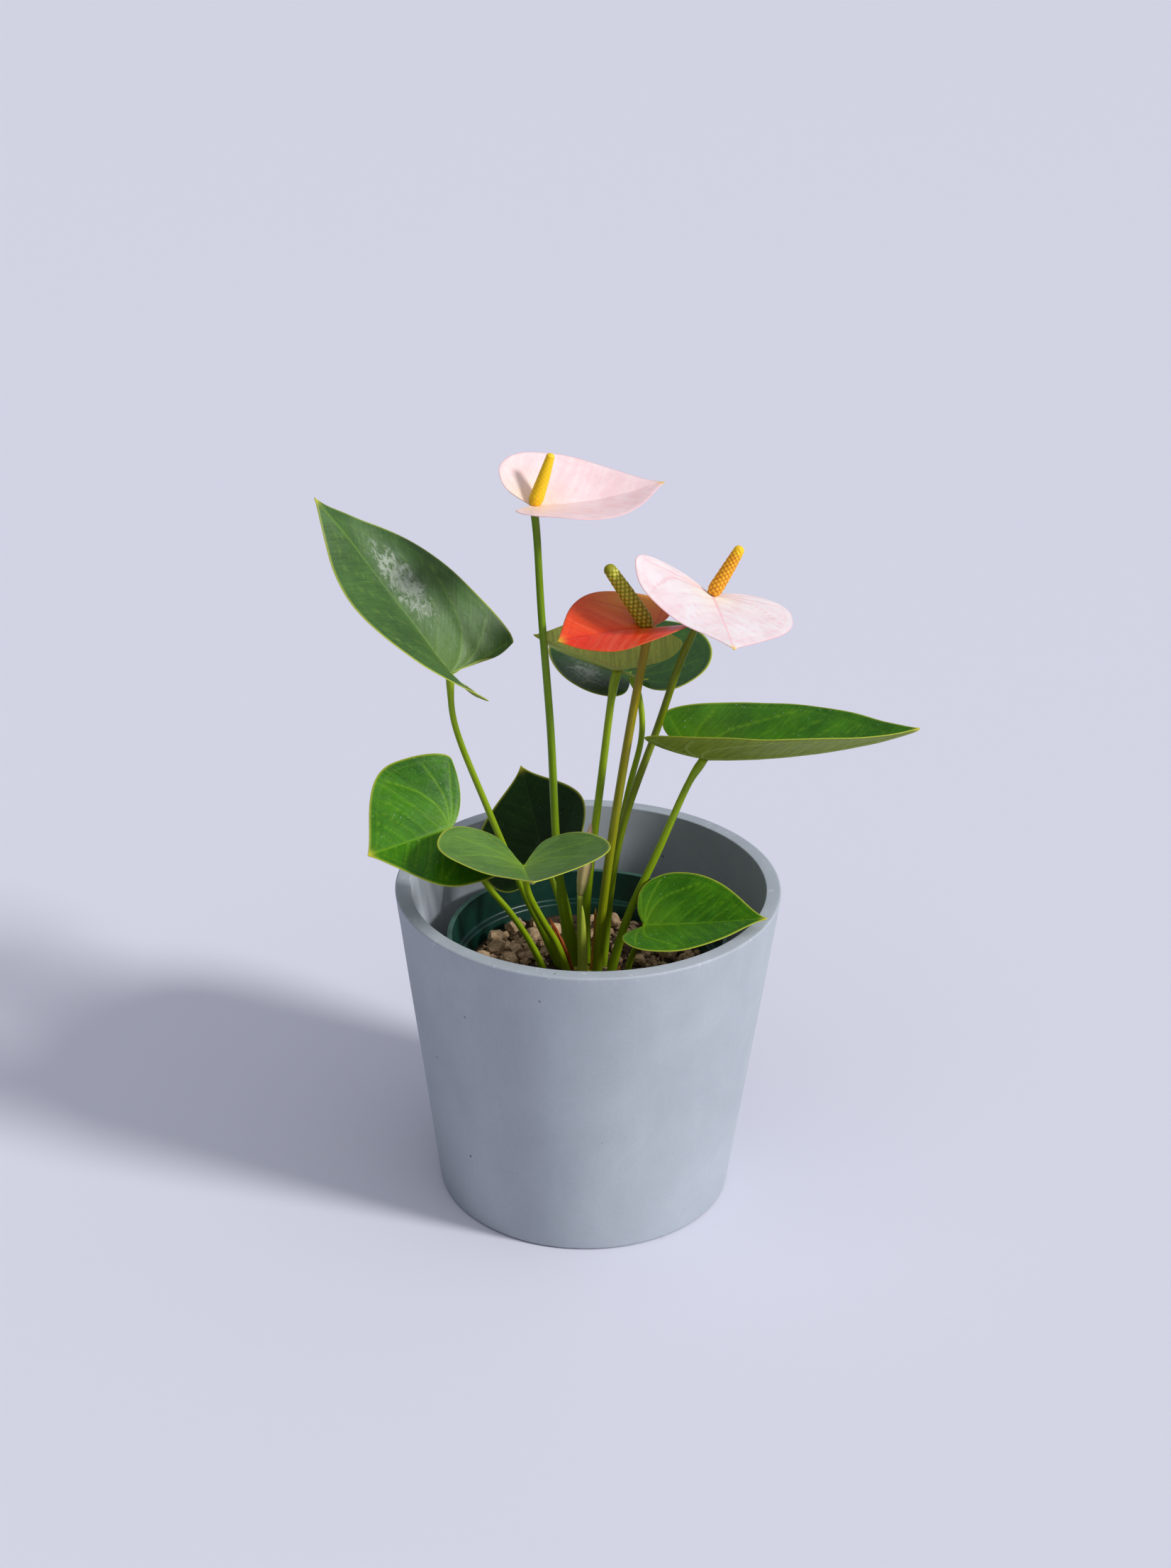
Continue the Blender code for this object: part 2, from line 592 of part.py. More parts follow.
def dry_pieces():
    """Dried sheaths that stand by the stalks, and scraps that lie on the mix."""
    brown = material("dry_brown", (0.25, 0.07, 0.02), 0.8)
    flat_leaf = ((0, 0), (0, 0.7), (0.4, 1.1), (0.8, 0.7), (0.97, 0.3), (1, 0))
    spindle("dry_sheath_brown", stem_foot((-5.0, -7.0), 0.8), (-9.5, -1.5, 27), 29, flat_leaf, brown, 6)
    spindle("dry_sheath_orange", stem_foot((1.3, -3.2), 0.6), (1.6, 0.1, 28), 29,
            ((0, 0), (0, 0.5), (0.4, 0.7), (0.97, 0.3), (1, 0)), brown, 6)
    spindle("small_sheath", stem_foot((10.8, -9.5), 0.8), (1.6, -0.6, 7), 8,
            ((0, 0), (0, 0.7), (0.4, 0.8), (0.95, 0.3), (1, 0)), brown, 6)
    low = SOIL_TOP + GAP + 1.2
    spindle("dry_leaf_scrap", (-30.5, -3, low), (13, -4, 0.4), 13, flat_leaf, brown, 6)
    spindle("dry_twig", (-16.5, -12.5, low), (3.5, 5.0, 1.5), 6.5,
            ((0, 0), (0, 0.4), (0.5, 0.45), (0.97, 0.3), (1, 0)), brown, 6)


def main():
    for old in list(bpy.data.objects):
        bpy.data.objects.remove(old, do_unlink=True)
    outer_pot()
    nursery_pot()
    potting_mix()
    crown()
    plant()
    young_growth()
    dry_pieces()
    pumice = material("pumice", (0.45, 0.28, 0.14), 0.9)
    for index, spot in enumerate(PEBBLES, start=1):
        pebble(index, spot, pumice)


main()
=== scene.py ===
"""Looks of the potted anthurium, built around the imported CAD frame.

Every CAD node is replaced by a fine mesh of the same piece. The tables of blades, stems,
spadices and pebbles repeat the design of the CAD model: lengths in millimetres, angles in
degrees, origin at the centre of the cover pot's base, +Z up and the plant's front towards -Y.
"""

import math
import random
from dataclasses import dataclass

import bpy
import numpy as np
from mathutils import Matrix, Vector, noise


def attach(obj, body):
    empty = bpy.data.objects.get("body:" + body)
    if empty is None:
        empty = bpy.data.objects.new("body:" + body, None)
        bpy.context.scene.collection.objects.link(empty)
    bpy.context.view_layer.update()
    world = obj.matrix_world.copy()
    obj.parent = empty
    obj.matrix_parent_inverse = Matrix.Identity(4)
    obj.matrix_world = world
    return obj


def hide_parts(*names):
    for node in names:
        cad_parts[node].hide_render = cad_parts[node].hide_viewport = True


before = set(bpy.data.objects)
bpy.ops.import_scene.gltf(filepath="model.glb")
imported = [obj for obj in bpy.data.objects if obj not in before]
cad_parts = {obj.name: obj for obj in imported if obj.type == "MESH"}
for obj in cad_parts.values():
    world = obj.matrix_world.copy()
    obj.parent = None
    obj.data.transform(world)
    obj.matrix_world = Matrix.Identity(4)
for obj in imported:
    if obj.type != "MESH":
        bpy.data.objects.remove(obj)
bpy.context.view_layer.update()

MM = 0.001

# Pots and mix, as in the CAD model.
POT_HEIGHT = 131.0
POT_RIM_RADIUS = 75.0
POT_BASE_RADIUS = 58.3
POT_WALL = 5.9
POT_FLOOR = 8.0
POT_EDGE = 1.2
NURSERY_RIM_RADIUS = 55.0
NURSERY_RIM_HEIGHT = 109.0
NURSERY_COLLAR_DROP = 13.0
NURSERY_SHOULDER_RADIUS = 51.0
NURSERY_BASE_RADIUS = 40.0
NURSERY_WALL = 1.3
NURSERY_LIP = 0.7
SOIL_TOP = 92.0
SOIL_RADIUS = 48.4
CROWN_CENTRE = (-2.5, -3.0)
CROWN_RADIUS = 8.0
CROWN_HEIGHT = 3.0

SINUS_DEPTH = 1.2
ARC = 0.55

# Fineness of the meshes.
ARC_STEPS = 30  # points on each of a blade outline's three arcs
BLADE_RINGS = 46
NIB_REACH = 2.2  # a blade's yellow tip fades out over this length
STEM_SIDES = 24
LATHE_SIDES = 256

# Camera: 60 mm lens on a 36 mm tall frame, turned about the point that it looks at.
CAMERA_LENS = 60.0
CAMERA_DISTANCE = 997.0
CAMERA_ELEVATION = 25.49
CAMERA_ROLL = 0.81
CAMERA_TARGET = (-1.6, 0.0, 173.6)

# Light: a low soft key from the right and a little in front, and a sky that is brighter overhead.
KEY_STRENGTH = 2.95
TOP_STRENGTH = 0.60
TOP_SOFTNESS = 60.0
TOP_ELEVATION = 72.0
TOP_TURN = 100.0
KEY_ELEVATION = 32.0
KEY_TURN = 24.0
KEY_SOFTNESS = 11.0
SKY_HORIZON = 0.16
SKY_RISE = 0.40
SKY_SIDE = 0.35
BACKGROUND = (0.69, 0.70, 0.81)


@dataclass
class Blade:
    """A heart-shaped leaf or spathe, drawn flat and then folded, bent and turned into place."""

    name: str
    junction: tuple
    length: float
    half_width: float
    widest: float  # share of the length at which the blade is widest
    lobe_reach: float
    lobe_spread: float  # the lobes' ends are this share of the half width from the midrib
    tip_fullness: float
    notch_fullness: float
    tip_fold: tuple  # left and right halves rise by this angle at the tip
    base_fold: tuple  # and by this angle at the lobes
    curl: tuple  # extra rise per centimetre away from the midrib
    bend: tuple  # rise of the midrib per centimetre towards the tip, and towards the lobes
    heading: float
    pitch: float
    roll: float
    right_width: float = 1.0
    right_lobe: float = 1.0


LEAVES = (
    Blade(
        "leaf_upper_left", (-53.1, 0, 218.6), 85, 32.5, 0.19, 7.3, 0.90, 0.38, 0.8,
        (-27, -8), (41, 32), (-0.8, -0.7), (-0.3, 1.0), 186, 57, -18.5, 1.03, 1.5,
    ),
    Blade(
        "leaf_lower_left", (-52.5, -20, 163.8), 35.5, 28, 0.26, 12, 0.80, 0.35, 0.12,
        (16, 6), (2, 20), (0.7, 0), (-0.6, 0), 215, -2, -30, 1.12,
    ),
    Blade(
        "leaf_front", (-24.1, -35, 155.7), 42.5, 33, 0.18, 20, 0.37, 0.26, 0.37,
        (15, 5), (21, 23.5), (1.5, 0.9), (5.3, 4.0), 276, 9, -4, 1.05,
    ),
    Blade(
        "leaf_back", (-17.5, 20, 130.8), 40, 27, 0.18, 9, 0.57, 0.23, 0.35,
        (9, -6.5), (10, 34), (-0.3, -0.3), (1.5, 0.1), 108.5, 44, -42, 1.03,
    ),
    Blade(
        "leaf_low_right", (22.3, -24, 125.8), 48.5, 24.5, 0.18, 5.2, 0.50, 0.28, 0.36,
        (10, 9), (20, 21), (0, -2.3), (1.2, 0.7), -17, 10.5, 11.5,
    ),
    Blade(
        "leaf_long_right", (43.4, 0, 185.2), 84, 27, 0.21, 19.5, 0.69, 0.47, 0.35,
        (20, 24), (41, 40.5), (-0.5, -0.8), (2.2, 0.7), -14.5, 6, -5,
    ),
    Blade(
        "leaf_mid_back", (14.4, 38, 204.1), 43.5, 31.5, 0.08, 20, 0.45, 0.24, 0.12,
        (8, 7), (16, 19), (-0.4, -0.6), (-1.7, 4.9), 106, 17, 0, 1.09,
    ),
    Blade(
        "leaf_mid_front", (10.0, 12, 216.1), 37, 23, 0.22, 20, 0.80, 0.26, 0.55,
        (35, 10), (45, 20), (0, 0), (-0.4, 5.0), 194, 28, 36, 0.8,
    ),
)

SPATHES = (
    Blade(
        "spathe_pink", (-21.8, 0, 285.2), 52, 24.5, 0.24, 11.5, 0.54, 0.36, 0.35,
        (7, 5), (39.5, 12), (1.0, 0.9), (4.2, 2.2), 22.5, -7, 4.5,
    ),
    Blade(
        "spathe_red", (21.1, -5, 240.2), 36.5, 25, 0.25, 12.5, 0.48, 0.45, 0.33,
        (-2, 7.5), (31, 9), (1.1, 0.2), (-2.5, -4.6), 203, 4, -5.5,
    ),
    Blade(
        "spathe_white", (44.1, 5, 249.5), 42.5, 31.5, 0.05, 6.3, 0.58, 0.21, 0.36,
        (0.5, -15.5), (5, 15), (-0.4, -0.2), (-0.9, 0), 280, -4.5, -19.5, 1.08,
    ),
)

# Each stem: where it leaves the soil (x, y), the points it passes, and its radius at shares of
# its length. It ends at the junction of the blade of the same row.
STEMS = {
    "leaf_upper_left": (
        (-10.5, 3), ((-18, 2, 109.5), (-25.5, 1.5, 127), (-39.5, 1, 163.5), (-51, 0.5, 196.5)),
        ((0, 1.6), (0.3, 1.3), (0.92, 1.15), (0.97, 1.5), (1, 1.4)),
    ),
    "leaf_lower_left": (
        (-15.5, -6), ((-21, -7.5, 106), (-29.5, -10.5, 122.5), (-39.5, -14, 138)),
        ((0, 1.5), (0.3, 1.2), (0.9, 1.1), (0.96, 1.4), (1, 1.3)),
    ),
    "leaf_front": (
        (-6, -10.5), ((-11.5, -15, 111), (-17.5, -22, 126.5), (-22.5, -29, 141.5)),
        ((0, 1.8), (0.3, 1.5), (0.85, 1.2), (0.95, 1.5), (1, 1.4)),
    ),
    "leaf_back": (
        (-7.5, 8.5), ((-10, 13, 109.5), (-13, 17, 119.5)),
        ((0, 1.5), (0.4, 1.2), (0.85, 1.1), (0.94, 1.4), (1, 1.3)),
    ),
    "leaf_low_right": (
        (14.5, -15), ((16, -17.5, 103.5), (18.5, -21, 114.5)),
        ((0, 1.4), (0.4, 1.15), (0.8, 1.1), (0.92, 1.3), (1, 1.2)),
    ),
    "leaf_long_right": (
        (8.5, -6.5), ((15.5, -5, 119), (26.5, -3, 146.5), (37, -1, 173.5)),
        ((0, 1.9), (0.3, 1.5), (0.9, 1.3), (0.96, 1.7), (1, 1.6)),
    ),
    "leaf_mid_back": (
        (4, 9.5), ((9, 15, 125.5), (15, 24, 158), (20, 30.5, 179.5), (19, 36, 194)),
        ((0, 1.6), (0.3, 1.3), (0.9, 1.1), (0.96, 1.4), (1, 1.3)),
    ),
    "leaf_mid_front": (
        (0.3, 5), ((-0.6, 6, 113), (1, 7.5, 137), (4.5, 9.5, 172), (8, 11.5, 206)),
        ((0, 1.8), (0.3, 1.5), (0.9, 1.4), (0.95, 1.8), (1, 1.8)),
    ),
    "spathe_pink": (
        (-3.2, 1), ((-8.2, 1, 113.5), (-12.3, 1, 145), (-15, 0.6, 195), (-18.7, 0.3, 242), (-20.5, 0, 272)),
        ((0, 2.9), (0.14, 2.4), (0.2, 1.6), (0.9, 1.35), (1, 1.5)),
    ),
    "spathe_red": (
        (3.8, -8.5), ((5.4, -7.7, 120.5), (9.7, -7, 161), (15, -6, 201), (19.5, -5.2, 230)),
        ((0, 2.0), (0.2, 1.75), (0.9, 1.6), (1, 1.8)),
    ),
    "spathe_white": (
        (6.2, 3.5), ((9.4, 4.2, 131), (14.5, 4.3, 159.5), (25, 4.6, 194), (34, 4.8, 224.5)),
        ((0, 1.8), (0.2, 1.5), (0.9, 1.4), (1, 1.5)),
    ),
}

# Spadix of each spathe: direction from the junction, length, radii near base and tip, and how
# far its small flowers stand out.
SPADICES = {
    "spathe_pink": ("spadix_pink", (5.7, 3.0, 17.9), 20.0, 2.7, 1.6, 0.06),
    "spathe_red": ("spadix_red", (-15.5, 4.0, 21.6), 28.0, 3.1, 2.3, 0.42),
    "spathe_white": ("spadix_white", (9.8, 4.0, 16.8), 21.0, 2.7, 1.9, 0.46),
}

# Loose pumice pebbles on the mix: x, y and radius.
PEBBLES = (
    (-41.5, 3, 4.2), (-36, 12.5, 3.8), (-39.5, -7, 3.2), (-37, 22, 4.0), (-31, 4.5, 3.6),
    (-28.5, 13.5, 3.2), (-29.5, 30, 4.4), (-21, 36, 3.6), (-22, 23, 4.6), (-13, 28, 3.5),
    (-22, 8.5, 2.8), (-14.5, 15.5, 3.0), (21, 6, 3.0), (32, 11, 3.4), (41, 4, 2.8),
    (27, -4, 2.6), (11, 38, 3.4), (-24, -24, 3.8), (9, -33, 3.2), (33, -22, 3.4),
)


# ---------------------------------------------------------------- materials


class Nodes:
    """Short forms for building one material's node tree."""

    def __init__(self, name, **settings):
        self.material = bpy.data.materials.new(name)
        self.material.use_nodes = True
        self.tree = self.material.node_tree
        self.shader = self.tree.nodes["Principled BSDF"]
        for socket, value in settings.items():
            self.shader.inputs[socket.replace("_", " ")].default_value = value

    def add(self, kind, inputs=(), **properties):
        """A node with its properties set, and its inputs given as constants or as sockets."""
        node = self.tree.nodes.new(kind)
        for key, value in properties.items():
            setattr(node, key, value)
        for key, value in dict(inputs).items():
            if isinstance(value, bpy.types.NodeSocket):
                self.tree.links.new(value, node.inputs[key])
            else:
                node.inputs[key].default_value = value
        return node

    def attribute(self, name):
        return self.add("ShaderNodeAttribute", attribute_name=name)

    def object_coordinates(self):
        return self.add("ShaderNodeTexCoord").outputs["Object"]

    def noise(self, vector, scale, detail=4.0, roughness=0.55, distortion=0.0):
        inputs = {"Vector": vector, "Scale": scale, "Detail": detail, "Roughness": roughness}
        inputs["Distortion"] = distortion
        return self.add("ShaderNodeTexNoise", inputs).outputs["Fac"]

    def math(self, operation, first, second=0.5, clamp=False):
        node = self.add("ShaderNodeMath", {0: first, 1: second}, operation=operation, use_clamp=clamp)
        return node.outputs[0]

    def span(self, value, low, high, new_low=0.0, new_high=1.0):
        """The value's range from low to high, moved to a new range and held within it."""
        inputs = {"Value": value, "From Min": low, "From Max": high, "To Min": new_low, "To Max": new_high}
        return self.add("ShaderNodeMapRange", inputs, clamp=True).outputs["Result"]

    def mix(self, share, first, second, blend="MIX"):
        node = self.add("ShaderNodeMix", data_type="RGBA", blend_type=blend)
        for key, value in ((0, share), (6, first), (7, second)):
            if isinstance(value, bpy.types.NodeSocket):
                self.tree.links.new(value, node.inputs[key])
            else:
                node.inputs[key].default_value = value if key == 0 else (*value, 1.0)
        return node.outputs[2]

    def stretch(self, vector, scale):
        inputs = {"Vector": vector, "Scale": scale}
        return self.add("ShaderNodeMapping", inputs).outputs["Vector"]

    def drive(self, socket, source):
        self.tree.links.new(source, self.shader.inputs[socket])

    def bump(self, height, distance, strength=1.0):
        """Adds a bump on top of the ones that are there already."""
        node = self.add("ShaderNodeBump", {"Height": height, "Distance": distance, "Strength": strength})
        normal = self.shader.inputs["Normal"]
        if normal.is_linked:
            self.tree.links.new(normal.links[0].from_socket, node.inputs["Normal"])
        self.tree.links.new(node.outputs["Normal"], normal)


def leaf_material(name, dark, bright, glow, under, dust, gloss, shine=0.22):
    """Waxy leaf: fine veins, a pale thin margin, dust specks, a whitish patch of dust and painted sheen, and a paler
    matt underside.
    """
    n = Nodes(name, Specular_IOR_Level=shine, Subsurface_Weight=0.03, Subsurface_Scale=0.002)
    flat = n.attribute("flat").outputs["Vector"]
    flow = n.attribute("flow").outputs["Vector"]
    vein = n.attribute("vein").outputs["Fac"]
    edge = n.attribute("edge").outputs["Fac"]
    upper = n.attribute("upper").outputs["Fac"]
    young = n.attribute("young").outputs["Fac"]
    broad = n.noise(flat, 0.06, 3.0)
    cells = n.noise(flat, 1.1, 5.0, 0.65)
    streaks = n.noise(flow, 0.9, 3.0, 0.6)
    threads = n.noise(flow, 2.4, 2.0, 0.5)
    top = n.mix(n.span(broad, 0.32, 0.66), dark, bright)
    top = n.mix(n.span(streaks, 0.42, 0.7, 0.0, 0.45), top, tuple(0.5 * c for c in dark))
    top = n.mix(n.span(cells, 0.4, 0.75, 0.0, 0.3), top, tuple(1.5 * c for c in bright))
    top = n.mix(n.span(threads, 0.60, 0.72, 0.0, 0.3), top, glow)
    top = n.mix(n.math("MULTIPLY", young, 0.35), top, glow)
    top = n.mix(n.math("MULTIPLY", vein, 0.5), top, glow)
    deep_under = tuple(0.62 * c for c in under)
    below = n.mix(n.span(streaks, 0.35, 0.65), deep_under, under)
    below = n.mix(n.span(cells, 0.35, 0.7, 0.0, 0.4), below, tuple(1.25 * c for c in under))
    below = n.mix(n.math("MULTIPLY", vein, 0.75), below, (0.42, 0.50, 0.14))
    colour = n.mix(upper, below, top)
    cloud = {"Vector": flat, "Scale": 0.42}
    specks = n.add("ShaderNodeTexVoronoi", cloud, feature="F1").outputs["Distance"]
    patchy = n.noise(flat, 0.11, 2.0)
    speck = n.math("MULTIPLY", n.span(specks, 0.13, 0.07), n.span(patchy, 0.48, 0.58), True)
    # The small specks are dust. The broad whitish patch where the dust attribute is high is a painted sheen, with real
    # dust in it on some leaves.
    patch = n.math("MULTIPLY", n.noise(flat, 0.28, 7.0, 0.75, 1.2), n.attribute("dust").outputs["Fac"])
    film = n.span(patch, 0.36, 0.50)
    dust_sheen_haze = n.span(patch, 0.20, 0.55, 0.0, 0.22)
    dust_and_sheen = n.math("MAXIMUM", n.math("MULTIPLY", speck, 0.75 * dust), n.math("MULTIPLY", film, 0.75), True)
    dust_and_sheen = n.math("MULTIPLY", n.math("MAXIMUM", dust_and_sheen, dust_sheen_haze), upper)
    # Paints the dust specks and the painted sheen patch a whitish grey on the top side.
    colour = n.mix(dust_and_sheen, colour, (0.36, 0.41, 0.33))
    colour = n.mix(n.math("MULTIPLY", edge, 0.85), colour, (0.46, 0.52, 0.05))
    colour = n.mix(n.attribute("tip").outputs["Fac"], colour, (0.50, 0.48, 0.04))
    n.drive("Base Color", colour)
    rough = n.span(n.noise(flat, 0.25, 4.0), 0.3, 0.7, gloss, gloss + 0.14)
    rough = n.math("ADD", rough, n.math("MULTIPLY", dust_and_sheen, 0.3), True)
    n.drive("Roughness", n.math("ADD", rough, n.span(upper, 1.0, 0.0, 0.0, 0.2), True))
    n.bump(cells, 0.00006, 0.5)
    n.bump(streaks, 0.00018, 0.5)
    n.bump(n.noise(flat, 0.22, 2.0), 0.0006, 0.4)
    return n.material


def spathe_material(name, colours, vein_colour, edge_colour, throat, vein_share, gloss):
    """Waxy spathe: cloudy colour, a throat of its own tint, fine veins and a thin edge."""
    pale, deep, tint = colours
    n = Nodes(name, Specular_IOR_Level=0.3, Subsurface_Weight=0.3, Subsurface_Scale=0.004)
    n.shader.inputs["Subsurface Radius"].default_value = (1.0, 0.5, 0.4)
    flat = n.attribute("flat").outputs["Vector"]
    flow = n.attribute("flow").outputs["Vector"]
    vein = n.attribute("vein").outputs["Fac"]
    edge = n.attribute("edge").outputs["Fac"]
    young = n.attribute("young").outputs["Fac"]
    cloud = n.noise(flat, 0.10, 5.0, 0.6, 0.8)
    streaks = n.noise(flow, 0.5, 4.0, 0.6)
    colour = n.mix(n.span(cloud, 0.38, 0.64), pale, deep)
    colour = n.mix(n.span(streaks, 0.46, 0.72, 0.0, 0.6), colour, tint)
    colour = n.mix(n.math("MULTIPLY", young, 0.7), colour, throat)
    colour = n.mix(n.attribute("dust").outputs["Fac"], colour, throat)
    colour = n.mix(n.math("MULTIPLY", vein, vein_share), colour, vein_colour)
    colour = n.mix(n.math("MULTIPLY", edge, 0.8), colour, edge_colour)
    colour = n.mix(n.attribute("tip").outputs["Fac"], colour, (0.85, 0.52, 0.04))
    n.drive("Base Color", colour)
    n.drive("Roughness", n.span(n.noise(flat, 0.4, 4.0), 0.3, 0.7, gloss, gloss + 0.15))
    n.bump(n.noise(flat, 0.8, 5.0, 0.65), 0.00005, 0.6)
    n.bump(n.noise(flat, 0.16, 3.0), 0.0008, 0.45)
    return n.material


def stem_material(name, base, top, shade):
    """Smooth stem: fine lengthways streaks, a colour that changes upwards, small pale flecks."""
    n = Nodes(name, Specular_IOR_Level=0.25, Subsurface_Weight=0.04, Subsurface_Scale=0.001)
    flat = n.attribute("flat").outputs["Vector"]
    along = n.attribute("along").outputs["Fac"]
    streaks = n.noise(n.stretch(flat, (1.4, 0.05, 1.0)), 1.0, 4.0)
    blotch = n.noise(n.stretch(flat, (0.3, 0.1, 1.0)), 1.0, 3.0)
    colour = n.mix(n.span(along, 0.0, 1.0), base, top)
    colour = n.mix(n.span(streaks, 0.4, 0.75, 0.0, 0.5), colour, shade)
    colour = n.mix(n.span(blotch, 0.55, 0.8, 0.0, 0.5), colour, shade)
    cells = {"Vector": n.stretch(flat, (1.0, 0.5, 1.0)), "Scale": 0.8}
    flecks = n.add("ShaderNodeTexVoronoi", cells).outputs["Distance"]
    colour = n.mix(n.span(flecks, 0.12, 0.05, 0.0, 0.3), colour, (0.45, 0.5, 0.2))
    n.drive("Base Color", colour)
    n.drive("Roughness", n.span(streaks, 0.3, 0.7, 0.3, 0.45))
    n.bump(streaks, 0.00012, 0.6)
    return n.material


def spadix_material(name, valley, knob, tip, smooth_tip):
    n = Nodes(name, Specular_IOR_Level=0.45, Subsurface_Weight=0.12, Subsurface_Scale=0.0015)
    n.shader.inputs["Subsurface Radius"].default_value = (1.0, 0.7, 0.2)
    raised = n.attribute("knob").outputs["Fac"]
    along = n.attribute("along").outputs["Fac"]
    where = n.object_coordinates()
    colour = n.mix(n.span(raised, 0.35, 0.9), valley, knob)
    colour = n.mix(n.span(n.noise(where, 700.0, 3.0), 0.4, 0.7, 0.0, 0.35), colour, tip)
    colour = n.mix(n.span(along, smooth_tip, smooth_tip + 0.08), colour, tip)
    n.drive("Base Color", colour)
    n.drive("Roughness", n.span(raised, 0.0, 1.0, 0.6, 0.38))
    n.bump(n.noise(where, 2500.0, 3.0), 0.00006, 0.5)
    return n.material


def pot_material():
    """Matt slate composite: soft mottling, pits, fine pale scuffs at the rim."""
    n = Nodes("cover_pot_matt_slate", Specular_IOR_Level=0.35)
    where = n.object_coordinates()
    cloud = n.noise(where, 22.0, 5.0, 0.6, 0.5)
    grain = n.noise(where, 900.0, 3.0, 0.6)
    smear = n.noise(n.stretch(where, (60.0, 60.0, 14.0)), 1.0, 4.0, 0.6)
    colour = n.mix(n.span(cloud, 0.3, 0.7), (0.36, 0.40, 0.44), (0.43, 0.475, 0.515))
    colour = n.mix(n.span(smear, 0.5, 0.75, 0.0, 0.35), colour, (0.47, 0.52, 0.56))
    colour = n.mix(n.span(grain, 0.3, 0.7, 0.0, 0.12), colour, (0.2, 0.23, 0.27))
    pits = n.add("ShaderNodeTexVoronoi", {"Vector": where, "Scale": 95.0, "Randomness": 1.0}).outputs["Distance"]
    rare = n.noise(where, 48.0, 2.0)
    pit = n.math("MULTIPLY", n.span(pits, 0.07, 0.04), n.span(rare, 0.52, 0.56), True)
    colour = n.mix(n.math("MULTIPLY", pit, 0.7), colour, (0.05, 0.06, 0.08))
    height = n.add("ShaderNodeSeparateXYZ", {"Vector": where}).outputs["Z"]
    near_rim = n.span(height, (POT_HEIGHT - 4) * MM, (POT_HEIGHT - 1) * MM)
    scuff = n.math("MULTIPLY", n.span(n.noise(where, 260.0, 5.0, 0.7, 0.4), 0.60, 0.68), near_rim, True)
    colour = n.mix(n.math("MULTIPLY", scuff, 0.55), colour, (0.62, 0.68, 0.74))
    n.drive("Base Color", colour)
    n.drive("Roughness", n.span(cloud, 0.3, 0.7, 0.5, 0.62))
    n.bump(grain, 0.00008, 0.4)
    n.bump(n.math("MULTIPLY", pit, -1.0), 0.0004, 0.8)
    n.bump(smear, 0.0002, 0.3)
    return n.material


def nursery_material():
    n = Nodes("nursery_pot_green_plastic", Specular_IOR_Level=0.5)
    where = n.object_coordinates()
    rubbed = n.noise(where, 180.0, 4.0, 0.6)
    film = n.noise(where, 40.0, 4.0, 0.6)
    colour = n.mix(n.span(film, 0.35, 0.7), (0.001, 0.024, 0.016), (0.002, 0.045, 0.030))
    colour = n.mix(n.span(rubbed, 0.58, 0.8, 0.0, 0.3), colour, (0.03, 0.08, 0.06))
    height = n.add("ShaderNodeSeparateXYZ", {"Vector": where}).outputs["Z"]
    # Painted highlight: the top half millimetre of the rim is painted a lighter green.
    lip_highlight = n.span(height, (NURSERY_RIM_HEIGHT - 0.5) * MM, (NURSERY_RIM_HEIGHT - 0.1) * MM, 0.0, 0.6)
    colour = n.mix(lip_highlight, colour, (0.07, 0.16, 0.12))
    n.drive("Base Color", colour)
    n.drive("Roughness", n.span(film, 0.3, 0.7, 0.3, 0.5))
    n.bump(rubbed, 0.0001, 0.4)
    return n.material


def grain_material(name, dark, middle, light, scale=420.0):
    """Porous mineral or earth: mottled colour, pits and a rough surface."""
    n = Nodes(name, Specular_IOR_Level=0.25, Roughness=0.92)
    where = n.object_coordinates()
    tone = n.attribute("tone").outputs["Fac"]
    cloud = n.noise(where, scale, 6.0, 0.7, 0.4)
    speckle = n.noise(where, 3.2 * scale, 4.0, 0.7)
    colour = n.mix(n.span(cloud, 0.32, 0.66), middle, light)
    colour = n.mix(n.span(speckle, 0.56, 0.72, 0.0, 0.7), colour, dark)
    colour = n.mix(n.span(tone, 0.0, 1.0, 0.0, 0.85), colour, dark)
    n.drive("Base Color", colour)
    n.bump(cloud, 0.0006, 0.8)
    n.bump(speckle, 0.0002, 0.9)
    return n.material


def dry_material(name, inner, outer):
    n = Nodes(name, Specular_IOR_Level=0.3, Roughness=0.7)
    flat = n.attribute("flat").outputs["Vector"]
    edge = n.attribute("edge").outputs["Fac"]
    fibre = n.noise(n.stretch(flat, (3.0, 0.25, 1.0)), 1.0, 4.0)
    colour = n.mix(n.span(fibre, 0.35, 0.7), inner, tuple(0.4 * c for c in inner))
    colour = n.mix(edge, colour, outer)
    n.drive("Base Color", colour)
    n.bump(fibre, 0.0003, 0.8)
    return n.material


# ---------------------------------------------------------------- mesh helpers


def mesh_object(name, points, faces, finish, attributes=(), vectors=(), sharp=None):
    """A shaded object from points in millimetres, with float and vector attributes per point."""
    mesh = bpy.data.meshes.new(name)
    mesh.from_pydata(np.asarray(points, float) * MM, [], faces)
    mesh.materials.append(finish)
    for key, values in dict(attributes).items():
        layer = mesh.attributes.new(key, "FLOAT", "POINT")
        layer.data.foreach_set("value", np.asarray(values, np.float32))
    for key, values in dict(vectors).items():
        layer = mesh.attributes.new(key, "FLOAT_VECTOR", "POINT")
        layer.data.foreach_set("vector", np.asarray(values, np.float32).ravel())
    mesh.shade_smooth()
    if sharp is not None:
        mesh.set_sharp_from_angle(angle=math.radians(sharp))
    made = bpy.data.objects.new(name, mesh)
    bpy.context.scene.collection.objects.link(made)
    return made


def settle(piece, slot, *nodes):
    """The piece rides on the root body and stands for the CAD nodes; the slot is not used."""
    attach(piece, "root")
    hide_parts(*nodes)


